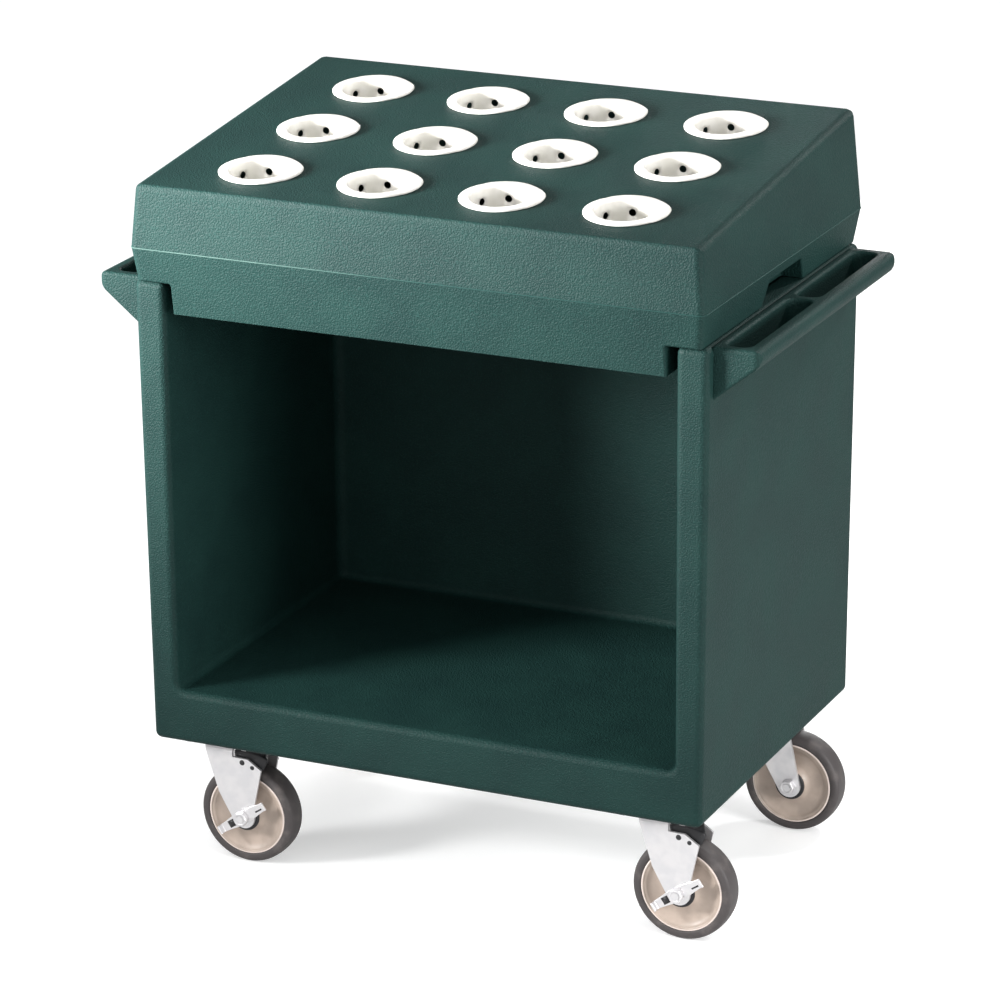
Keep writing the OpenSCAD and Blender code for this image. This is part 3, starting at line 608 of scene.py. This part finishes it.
def makeRack(s):
    points, faces, at = rackShell(s)
    shape = joined([(points, faces)] + rackTop(s, {name: points[i] for name, i in at.items()}))
    piece = makePiece("rack", shape, "moulded_rack", "rack", "cutlery_rack")

    def radiusAt(middle, along):
        x, y, z = np.abs(middle[:, 0]), middle[:, 1], middle[:, 2]
        top = z > slopeHeight(y) - near
        beside = np.abs(y) < s["notchLow"] + near
        corner = (z > s["seat"] + near) & (along[:, 2] > steep) & ~beside
        crease = np.abs(z - s["crease"]) < near
        notch = beside & (x > s["skirt"] + near) & (z < s["crease"] - near)
        radius = np.where(crease, s["creaseEdge"], s["ledgeEdge"])
        radius = np.where(corner, s["edge"], np.where(top, s["topEdge"], radius))
        return np.where(notch, s["notchEdge"], radius)

    roundFolds(piece, radiusAt, s["edge"])
    skin = piece.modifiers.new("Skin", "SOLIDIFY")
    skin.thickness, skin.offset, skin.use_even_offset = s["skin"] * mm, -1, True
    flatShading(piece)


# Parting line: a thin round bead carried along the crease all the way round, with a painted highlight towards
# its left end: its paler worn colour there is painted light
partingSettings = {"radius": 1.0, "sink": 0.3, "sides": 8, "beadColour": (26, 54, 51), "worn": (62, 84, 79),
                   "highlightEnd": 60, "fade": 360, "rubbed": (40, 2.0), "paintedHighlight": (0.55, 0.9), "rough": 0.58,
                   "wornRough": 0.12, "specular": 0.12}


def partingFinish(s):
    material, place, shader = newFinish("parting_highlight", Specular_IOR_Level=s["specular"])
    across = place.node("ShaderNodeSeparateXYZ", {}, {0: place}, 0)
    rubbed = place.noise(*s["rubbed"])
    least, more = s["paintedHighlight"]
    # painted highlight: the bead is painted paler left of x = 60 mm, fully so 360 mm further on, and patchy with
    # the rubbed noise
    paintedHighlight = (s["highlightEnd"] * mm - across).between(0.0, s["fade"] * mm) * (least + rubbed * more)
    connect(shader, Base_Color=paintedHighlight.mix(colour(*s["beadColour"]), colour(*s["worn"])),
            Roughness=s["rough"] - rubbed * s["wornRough"])
    return material


def makeParting(s, p):
    wide, deep = s["wide"], s["deep"]
    path = softCorners([(wide, -deep), (wide, deep), (-wide, deep), (-wide, -deep)], [s["edge"]] * 4, 8)
    along = np.roll(path, -1, 0) - np.roll(path, 1, 0)
    out = np.stack([along[:, 1], -along[:, 0]], 1) / np.linalg.norm(along, axis=1, keepdims=True)
    angle = np.arange(p["sides"]) / p["sides"] * 2 * np.pi
    flat = path[:, None] + out[:, None] * (p["radius"] * np.cos(angle) - p["sink"])[None, :, None]
    height = np.broadcast_to(s["crease"] + p["radius"] * np.sin(angle), flat.shape[:2])
    points = np.concatenate([flat, height[..., None]], -1)
    shape = points.reshape(-1, 3), [gridFaces(len(path), p["sides"], True, True)]
    piece = makePiece("parting_line", shape, "moulded_rack", "rack", "cutlery_rack")
    piece.data.materials[0] = partingFinish(p)


makeRack(rackSettings)
makeParting(rackSettings, partingSettings)
print("rack made")

# Cups: a tapered bucket with rings of drain holes, and a flange drawn out to a lifting tip on each side. The
# brim's section runs from its underside round the edge and over the lip to the bore: shares of the flange's
# width, then distances from the bore, and shares of its thickness
cupShape = {"mouth": 47, "foot": 42, "depth": 130, "wall": 3, "seat": 0.3, "drain": 5.4, "count": 7,
            "start": 50, "rings": (-80, -17), "footRing": 22.7, "disc": 10, "heel": 36, "split": 79,
            "scales": (44.0, 45.5), "points": 12, "flange": 5, "flangeR": 56, "tip": 62.5, "tipTurn": 22,
            "tipRun": (36, 58), "tipCurve": (1.5, 1.1), "lobeRun": 62, "lobeShare": 0.5, "step": 50,
            "stepRamp": 3, "stepFade": 20, "stepOut": 1.3, "nick": 120, "nickRun": 5, "nickIn": 1.2,
            "brimShare": (0, 0.8, 0.93, 0.985, 1, 0.985, 0.93, 0.86), "brimLip": (2.0, 0.5, 0, 0),
            "brimHeight": (0, 0, 0.05, 0.2, 0.5, 0.8, 0.95, 1, 0.88, 0.84, 0.72, 0)}


# Bucket sheet in (angle, length along the foot and up the wall): holed patches, a middle disc and a heel ring
def bucketSheet(s):
    step, n = 2 * np.pi / s["count"], s["points"]
    start = np.radians(s["start"]) - step / 2
    foot, split, top = s["foot"], s["foot"] + s["split"], s["foot"] + s["depth"]
    bands = [(s["footRing"], s["disc"], s["heel"], s["footRing"]),
             (s["scales"][0], foot, split, top + s["rings"][0]),
             (s["scales"][1], split, top, top + s["rings"][1])]
    parts, loops, count = [], [], 0
    for scale, low, high, centre in bands:
        for i in range(s["count"]):
            a = start + step * i
            middle = ((a + step / 2) * scale, centre)
            flat, quads = holedPatch(a * scale, (a + step) * scale, low, high, middle, s["drain"], n)
            loops.append(count + len(flat[:-1].reshape(-1, 2)) + np.arange(4 * n))
            parts.append((flat.reshape(-1, 2) / np.array([scale, 1]), [quads]))
            count += flat.size // 2
    angle = start + np.arange(s["count"] * n + 1) / n * step
    for low, high in ((0.0, s["disc"]), (s["heel"], foot)):
        ring = np.stack([np.stack([angle, 0 * angle + low], 1), np.stack([angle, 0 * angle + high], 1)])
        parts.append((ring.reshape(-1, 2), [gridFaces(2, len(angle))]))
    flat, faces = joined(parts)
    return flat, faces, np.array(loops), angle


# Lengths along the sheet become (radius, height); the inner sheet is drawn in by the wall
def bucketPlace(s, flat, wall):
    length = flat[:, 1]
    up = np.clip((length - s["foot"]) / s["depth"], 0, 1)
    radius = np.where(length < s["foot"], length, s["foot"] + (s["mouth"] - s["foot"]) * up)
    r = np.where(length < s["foot"], length * (1 - wall / s["foot"]), radius - wall)
    z = -s["depth"] + wall + up * (s["depth"] + s["seat"] - wall)
    return np.stack([r * np.cos(flat[:, 0]), r * np.sin(flat[:, 0]), z], 1)


# The flange's edge is a circle, drawn out to a pointed tip and to a round lobe opposite it, with a step beside
# the tip and a small nick; angles are in degrees from the tip
def flangeEdge(s, angle):
    away = (np.degrees(angle) - s["tipTurn"] + 180) % 360 - 180
    point = np.where(away > 0, np.clip(1 - away / s["tipRun"][0], 0, 1) ** s["tipCurve"][0],
                     np.clip(1 + away / s["tipRun"][1], 0, 1) ** s["tipCurve"][1])
    step = np.clip((away + s["step"] + s["stepRamp"]) / s["stepRamp"], 0, 1)
    step = step * np.clip(-away / s["stepFade"], 0, 1)
    lobe = np.cos(np.clip((180 - np.abs(away)) / s["lobeRun"], 0, 1) * np.pi / 2) ** 2
    nick = np.exp(-((away - s["nick"]) / s["nickRun"]) ** 2)
    drawn = (s["tip"] - s["flangeR"]) * (point + s["lobeShare"] * lobe)
    return s["flangeR"] + drawn + s["stepOut"] * step - s["nickIn"] * nick


# Outer and inner sheet joined by sleeves in the drain holes, and the brim's section carried round the mouth
def cupParts(s):
    flat, faces, loops, angle = bucketSheet(s)
    outside, inside = bucketPlace(s, flat, 0.0), bucketPlace(s, flat, s["wall"])
    total = len(flat)
    around = np.roll(loops, -1, axis=1)
    sleeves = np.stack([loops, around, around + total, loops + total], -1).reshape(-1, 4)
    bucket = (np.concatenate([outside, inside]), faces + [face + total for face in faces] + [sleeves])
    outer = s["mouth"] + (flangeEdge(s, angle)[:, None] - s["mouth"]) * np.array(s["brimShare"])
    lip = s["mouth"] - s["wall"] + np.array(s["brimLip"])
    r = np.concatenate([outer, np.broadcast_to(lip, (len(angle), len(lip)))], 1)
    z = np.broadcast_to(s["seat"] + s["flange"] * np.array(s["brimHeight"]), r.shape)
    brim = np.stack([r * np.cos(angle)[:, None], r * np.sin(angle)[:, None], z], -1)
    return joined([bucket, (brim.reshape(-1, 3), [gridFaces(len(angle), r.shape[1])])])


# One cup for each hole, turned to stand square on the slope
def makeCups(s):
    points, faces = cupParts(s)
    c, t = np.cos(slopeAngle), np.sin(slopeAngle)
    turn = np.array([[1, 0, 0], [0, c, -t], [0, t, c]])
    for j, row in enumerate(["front", "middle", "rear"]):
        for i in range(4):
            x, y = rackSettings["cupX"][i], rackSettings["cupY"][j]
            name = f"cup_{row}_{i + 1}"
            shape = points @ turn.T + np.array([x, y, slopeHeight(y)]), faces
            makePiece(name + "_white", shape, "cup_plastic", name, name)


makeCups(cupShape)
print("cups made")

# Casters: every corner's pieces are made about its swivel axis and moved to it
casterSettings = {"x": 347, "y": 216, "trail": 34, "axle": 76}


def casterPlace(corner, s=casterSettings):
    return np.array([s["x"] * (1 if "right" in corner else -1), s["y"] * (1 if "rear" in corner else -1), 0.0])


def axlePlace(corner, s=casterSettings):
    return casterPlace(corner) + np.array([s["trail"], 0, s["axle"]])


# Fork: one sheet whose path runs up one leg, round a bend, across the crown and down the other leg. Across the
# path x goes from the leg's nose to its heel at that height; the outlines of both are (height, x)
forkSettings = {"leg": 27, "sheet": 4, "edge": 0.8, "crown": 182, "bend": 8, "end": 18, "steps": 14, "rows": 26,
                "flat": (-10, 0, 10), "crownHalf": 12, "crownHeel": 29,
                "nose": ((67.3, 18.3), (111, -6), (184, -29)), "plainHeel": ((76, 52), (184, 29)),
                "shoulder": ((150.2, 64.2), (153.2, 65), (155.2, 63)), "sill": ((168.2, 43.3), (168.8, 18)),
                "race": (24, 36, 184, 189), "raceEdges": (0, 1.5, 1.5, 1.5)}


def forkSheet(s, hasBrake):
    axle, trail, high = casterSettings["axle"], casterSettings["trail"], s["crown"] - s["bend"]
    cut = s["shoulder"] + s["sill"]
    brakedHeel = ((axle, trail + s["end"]), (axle + s["end"], trail + s["end"])) + cut
    noseAt, noseX = np.array(s["nose"]).T
    heelAt, heelX = np.array(brakedHeel if hasBrake else s["plainHeel"]).T
    foot = axle - s["end"] * np.cos(np.linspace(0, np.pi / 2, 9))
    bend = np.linspace(0, np.pi / 2, 7)
    legs = np.sort(np.concatenate([np.linspace(axle, high, s["rows"])[1:-1], [at for at, x in cut]]))
    z = np.concatenate([foot, legs, high + s["bend"] * np.sin(bend)])
    y = np.concatenate([np.full(len(z) - len(bend), -s["leg"]), -s["leg"] + s["bend"] * (1 - np.cos(bend))])
    y = np.concatenate([y, s["flat"], -y[::-1]])
    z = np.concatenate([z, np.full(len(s["flat"]), s["crown"]), z[::-1]])
    half = np.sqrt(np.clip(s["end"] ** 2 - np.clip(axle - z, 0, None) ** 2, 0, None))
    nose = np.where(z < noseAt[0], trail - half, np.interp(z, noseAt, noseX))
    heel = np.where(z < axle, trail + half, np.interp(z, heelAt, heelX))
    heel[np.abs(y) < s["crownHalf"]] = s["crownHeel"]
    x = nose[:, None] + (heel - nose)[:, None] * np.linspace(0, 1, s["steps"])
    points = np.stack([x, np.broadcast_to(y[:, None], x.shape), np.broadcast_to(z[:, None], x.shape)], -1)
    return points.reshape(-1, 3), [gridFaces(len(z), s["steps"])]


def makeFork(corner, s=forkSettings):
    body, node = corner + "_swivel", corner + "_fork"
    points, faces = forkSheet(s, corner in braked)
    piece = makePiece(corner + "_fork_sheet", (points + casterPlace(corner), faces), "zinc_plate", body, node)
    sheetMetal(piece, s["sheet"], s["edge"])
    ring = softCorners(rectangle(*s["race"]), s["raceEdges"])
    makePiece(corner + "_race", turnedZ(ring, casterPlace(corner), 64), "zinc_plate", body, node)


# Hole shades: dark domed heads on both legs of a braked fork, at the shoe's pin and behind it, painted dark as
# the shade of two small holes in the legs; (x, z) from the axle
holeShadeSettings = {"at": ((0, 86.2), (16.5, 80.5)), "radius": (4.2, 3.4), "rise": 1.1, "face": 29, "sink": 0.4}


def makeHoleShades(corner, s=holeShadeSettings):
    arc = np.linspace(0, np.pi / 2, 7)
    low = s["face"] - s["sink"]
    heads = []
    for (x, z), radius in zip(s["at"], s["radius"]):
        centre = axlePlace(corner) + np.array([x, 0, z])
        dome = np.stack([radius * np.cos(arc), s["face"] + s["rise"] * np.sin(arc)], 1)
        profile = np.concatenate([[[0, low], [radius, low]], dome])
        heads += [turnedY(profile * np.array([1, side]), centre, 32, False) for side in (-1, 1)]
    # the heads' black is painted shade of the holes
    makePiece(corner + "_hole_shades", joined(heads), "black_plastic", corner + "_swivel", corner + "_fork")


# Wheel: tyre with a slightly crowned tread, dished core with a raised ring, and guards beside the hub. Sections
# are (radius, distance from the wheel's middle) and are mirrored; the lip's steps go inwards from the seat
wheelShape = {"tread": 76, "crown": 0.8, "half": 19, "shoulder": 7, "seat": 62.05, "bead": 59.4,
              "lip": ((3, 0), (1.2, 0.5), (0, 1.6)),
              "core": ((9.1, 21), (20, 21), (21, 20.4), (21.6, 19), (26, 13.2), (30, 12), (38, 11.4),
                       (46, 11.8), (51, 13.2), (53.5, 15), (55, 16.2), (57, 16.6), (57.8, 16.7),
                       (58.2, 17.4), (59, 17.9), (61, 17.9), (61.8, 17.4), (62, 16.2)),
              "guard": (6.05, 23, 21.3, 25), "guardEdges": (0, 0.8, 1.6, 0)}


def makeWheel(corner, s=wheelShape):
    centre, body, mirror = axlePlace(corner), corner + "_wheel", np.array([1, -1])
    crown = np.linspace(-1, 1, 9)
    flat, brow = s["half"] - s["shoulder"], s["tread"] - s["crown"]
    tread = np.stack([s["tread"] - s["crown"] * crown ** 2, crown * flat], 1)
    arc = np.linspace(0, np.pi / 2, 8)[1:]
    upper = np.stack([brow - s["shoulder"] * (1 - np.cos(arc)), flat + s["shoulder"] * np.sin(arc)], 1)
    half = np.concatenate([upper, np.array([s["seat"], s["half"]]) + np.array(s["lip"]) * mirror])
    tyre = np.concatenate([tread, half, half[::-1] * mirror])
    makePiece(corner + "_tyre_rubber", turnedY(tyre, centre, 128), "tyre_rubber", body, corner + "_tyre")
    face = np.array(s["core"])
    core = np.concatenate([face * mirror, face[::-1]])
    shape = turnedY(core, centre, 112)
    piece = makePiece(corner + "_core", shape, "wheel_plastic", body, corner + "_wheel_core")
    place = np.empty(len(piece.data.vertices) * 3, np.float32)
    piece.data.vertices.foreach_get("co", place)
    away = np.hypot(place[0::3] / mm - centre[0], place[2::3] / mm - centre[2])
    rim = piece.data.attributes.new("rim", "FLOAT", "POINT")
    rim.data.foreach_set("value", (away > s["bead"]).astype(np.float32))
    disc = softCorners(rectangle(*s["guard"]), s["guardEdges"])
    guards = joined([turnedY(disc * mirror, centre, 64), turnedY(disc, centre, 64)])
    makePiece(corner + "_guards", guards, "black_plastic", corner + "_swivel", corner + "_thread_guards")


# Nut: a hexagon with its corners cut by a cone, round a bore, on the brake lever or on the fork's leg. The pairs
# are how far an edge is drawn in and how high it is cut
nutSettings = {"across": 11.4, "height": 9.6, "bore": 6.05, "cone": 0.9, "onLever": 32.6, "onLeg": 29.0,
               "steps": 72, "footEdge": (0.3, 0.1), "topEdge": (0.6, 0.3), "boreEdge": (1, 0.8),
               "corners": (0.9, 1.6)}


def makeNut(corner, s=nutSettings):
    centre = axlePlace(corner) - np.array([0, s["onLever"] if corner in braked else s["onLeg"], 0])
    angle = np.arange(s["steps"]) / s["steps"] * 2 * np.pi
    hexagon = s["across"] * np.cos(np.pi / 6) / np.cos(angle % (np.pi / 3) - np.pi / 6)
    cone, bore, top = np.minimum(hexagon, s["across"] * s["cone"]), 0 * angle + s["bore"], s["height"]
    (footIn, footCut), (topIn, topCut), (boreIn, boreCut) = s["footEdge"], s["topEdge"], s["boreEdge"]
    low, high = s["corners"]
    r = np.stack([bore, cone - footIn, cone, hexagon, hexagon, cone, cone - topIn, bore + boreIn, bore], 1)
    y = -np.array([0, 0, footCut, low, top - high, top - topCut, top, top, top - boreCut])
    around = np.stack([r * np.cos(angle)[:, None], np.broadcast_to(y, r.shape), r * np.sin(angle)[:, None]], -1)
    shape = (centre + around).reshape(-1, 3), [gridFaces(s["steps"], r.shape[1], True, True)]
    makePiece(corner + "_nut", shape, "zinc_plate", corner + "_swivel", corner + "_axle_nut")


# Brake lever: a strip whose path runs in along one tab, round a bend, along the arm and out along the other tab.
# It is widest about the axle. Marks are painted shade: dark boxes on its face where the arm and a slot in the
# high tab lie in shade, from and to along the arm and across it
leverSettings = {"low": 40, "high": 43, "face": 29.3, "sheet": 3, "edge": 0.6, "lowTab": 13, "highTab": 6,
                 "bend": 3, "arm": 10, "tabHalf": 6.6, "wide": 1.45, "narrowing": 24, "tilt": 34, "rows": 17,
                 "columns": 7,
                 "shadeMarks": ((25, 37, -3.2, -0.8), (-27, -16, -5.5, 5.5)), "markIn": 0.3, "markOut": 0.25}


def makeLever(corner, s=leverSettings):
    centre, mid = axlePlace(corner), s["sheet"] / 2
    body, node = corner + "_lever", corner + "_brake_lever"
    c, t = np.cos(np.radians(s["tilt"])), np.sin(np.radians(s["tilt"]))

    # points at u along the tilted arm, v across it and w out from its inner face
    def tilted(u, v, w):
        return centre + np.stack(np.broadcast_arrays(u * c - v * t, -s["face"] - w, u * t + v * c), -1)

    turns = [(-s["low"], s["lowTab"]), (-s["low"], mid), (s["high"], mid), (s["high"], s["highTab"])]
    start, first, second, end = softCorners(turns, (0, s["bend"], s["bend"], 0)).reshape(len(turns), -1, 2)
    arm = np.linspace(s["bend"] - s["low"], s["high"] - s["bend"], s["rows"])[1:-1]
    path = np.concatenate([start[-1:], first, np.stack([arm, 0 * arm + mid], 1), second, end[:1]])
    u, w = path[:, :1], path[:, 1:]
    half = s["tabHalf"] + (s["arm"] - s["tabHalf"]) * np.clip(s["wide"] - np.abs(u) / s["narrowing"], 0, 1)
    points = tilted(u, half * np.linspace(-1, 1, s["columns"]), w)
    shape = points.reshape(-1, 3), [gridFaces(len(path), s["columns"])]
    piece = makePiece(corner + "_lever_sheet", shape, "zinc_plate", body, node)
    sheetMetal(piece, s["sheet"], s["edge"])
    # dark boxes of painted shade on the lever's face
    paintedShade = []
    for u0, u1, v0, v1 in s["shadeMarks"]:
        depth = [s["sheet"] - s["markIn"], s["sheet"] + s["markOut"]]
        box = tilted(*np.meshgrid([u0, u1], [v0, v1], depth, indexing="ij"))
        paintedShade.append(cellSolid(box, np.ones((1, 1, 1), bool)))
    makePiece(corner + "_lever_shade", joined(paintedShade), "black_plastic", body, node)


# Brake shoe: a rounded block carried round the wheel's centre, drawn in a little at its two ends. Its low end
# is cut slanting, so that the inner side is shorter; turns are in degrees
shoeSettings = {"inner": 79.8, "outer": 101.8, "half": 22, "from": 66, "fromInside": 79, "to": 100, "soft": 3,
                "ends": 0.9, "steps": 13}


def makeShoe(corner, s=shoeSettings):
    section = softCorners(rectangle(s["inner"], s["outer"], -s["half"], s["half"]), [s["soft"]] * 4, 5)
    share = np.pad(np.linspace(0, 1, s["steps"]), 1, mode="edge")[:, None]
    shrink = np.ones((s["steps"] + 2, 1, 1))
    shrink[[1, -2]], shrink[[0, -1]] = s["ends"], 0
    middle = np.array([(s["inner"] + s["outer"]) / 2, 0])
    ring = middle + (section - middle) * shrink
    r, y = ring[..., 0], ring[..., 1]
    start = s["from"] + (s["fromInside"] - s["from"]) * np.clip((y + s["half"]) / s["half"], 0, 1)
    angle = np.radians(start + (s["to"] - start) * share)
    points = axlePlace(corner) + np.stack([r * np.cos(angle), y, r * np.sin(angle)], -1)
    shape = points.reshape(-1, 3), [gridFaces(len(share), len(section), False, True)]
    makePiece(corner + "_shoe_block", shape, "black_plastic", corner + "_shoe", corner + "_brake_shoe")


for corner in corners:
    makeFork(corner)
    makeWheel(corner)
    makeNut(corner)
    if corner in braked:
        makeHoleShades(corner)
        makeLever(corner)
        makeShoe(corner)
print("casters made")

# CAD nodes whose shape is right keep it and get their finish
keptFinish = {"zinc_plate": ("top_plate", "axle_bolt", "brake_pin", "kingpins", "kingpin_nuts", "swivel_balls",
                             "caster_bolts", "caster_washers"),
              "bush_brass": ("bush", "caster_inserts")}
for name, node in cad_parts.items():
    for finish, endings in keptFinish.items():
        if name.endswith(endings):
            node.data.materials.clear()
            node.data.materials.append(finishes[finish])
print("kept nodes finished")

# Studio: a pale floor, a soft sky that looks white to the camera, and four lamps as (name, place and aim in
# metres, size, watts, spread in degrees)
studioSettings = {"floor": (226, 226, 226), "paler": 4, "cloud": (900, 2.0), "rough": 0.9, "specular": 0.1,
                  "lift": 0.36, "reach": 14, "shift": 4, "points": 9,
                  "horizon": 0.14, "overhead": 0.97, "ahead": 0.9, "behind": 0.7,
                  "lamps": (("key", (-1.95, -1.78, 1.5), (-0.42, -0.3, 1.26), 0.8, 49.5, 53),
                            ("fill", (3.2, -0.9, 1.2), (0.44, 0, 0.7), 1.4, 24, 80),
                            ("rim", (1.3, 2.1, 2.3), (0.3, 0, 1.0), 0.25, 8, 90),
                            ("back", (-0.7, 3.6, 0.85), (-0.1, 0, 0.6), 1.8, 22, 100))}


# The floor's glow is seen by the camera alone, so that it looks white and lights nothing
def addFloor(s):
    n = s["points"]
    side = np.linspace(-s["reach"], s["reach"], n)
    x, y = np.meshgrid(side, side + s["shift"], indexing="ij")
    mesh = bpy.data.meshes.new("floor")
    points = np.stack([x, y, 0 * x], -1).reshape(-1, 3)
    mesh.from_pydata(points.tolist(), [], gridFaces(n, n)[:, ::-1].tolist())
    floor = bpy.data.objects.new("floor", mesh)
    bpy.context.scene.collection.objects.link(floor)
    material, place, shader = newFinish("studio_floor", Roughness=s["rough"], Specular_IOR_Level=s["specular"],
                                        Emission_Strength=s["lift"])
    cloud = place.noise(*s["cloud"])
    seen = place.node("ShaderNodeLightPath", {}, {}, "Is Camera Ray")
    paler = colour(*(value + s["paler"] for value in s["floor"]))
    connect(shader, Base_Color=cloud.mix(colour(*s["floor"]), paler), Emission_Color=seen)
    mesh.materials.append(material)


# The sky is brightest overhead, less so behind the part, and a second light patch is ahead of it
def addSky(s):
    world = bpy.data.worlds.new("studio")
    world.use_nodes = True
    tree = world.node_tree
    sky = Wire(tree, tree.nodes.new("ShaderNodeTexCoord").outputs["Generated"])
    depth = sky.node("ShaderNodeSeparateXYZ", {}, {0: sky}, 1)
    rise = sky.maths("MAXIMUM", sky.node("ShaderNodeSeparateXYZ", {}, {0: sky}, 2), 0.0)
    ahead, behind = sky.maths("MAXIMUM", 0 - depth, 0.0), sky.maths("MAXIMUM", depth, 0.0)
    dome = rise * (s["overhead"] - behind * s["behind"]) + ahead * s["ahead"] + s["horizon"]
    seen = sky.node("ShaderNodeLightPath", {}, {}, "Is Camera Ray")
    background = tree.nodes["Background"]
    background.inputs["Color"].default_value = (1, 1, 1, 1)
    connect(background, Strength=dome + seen * (1 - dome))
    bpy.context.scene.world = world


def addLamps(s):
    for name, place, aim, size, power, spread in s["lamps"]:
        data = bpy.data.lights.new(name, "AREA")
        data.energy, data.shape, data.size, data.spread = power, "DISK", size, np.radians(spread)
        back = np.array(place) - np.array(aim)
        back = back / np.linalg.norm(back)
        across = np.cross([0, 0, 1], back)
        across = across / np.linalg.norm(across)
        setUp(bpy.data.objects.new(name, data), across, np.cross(back, across), back, place)


addFloor(studioSettings)
addSky(studioSettings)
addLamps(studioSettings)
bpy.context.scene.view_settings.view_transform = "Standard"
print("studio lit")
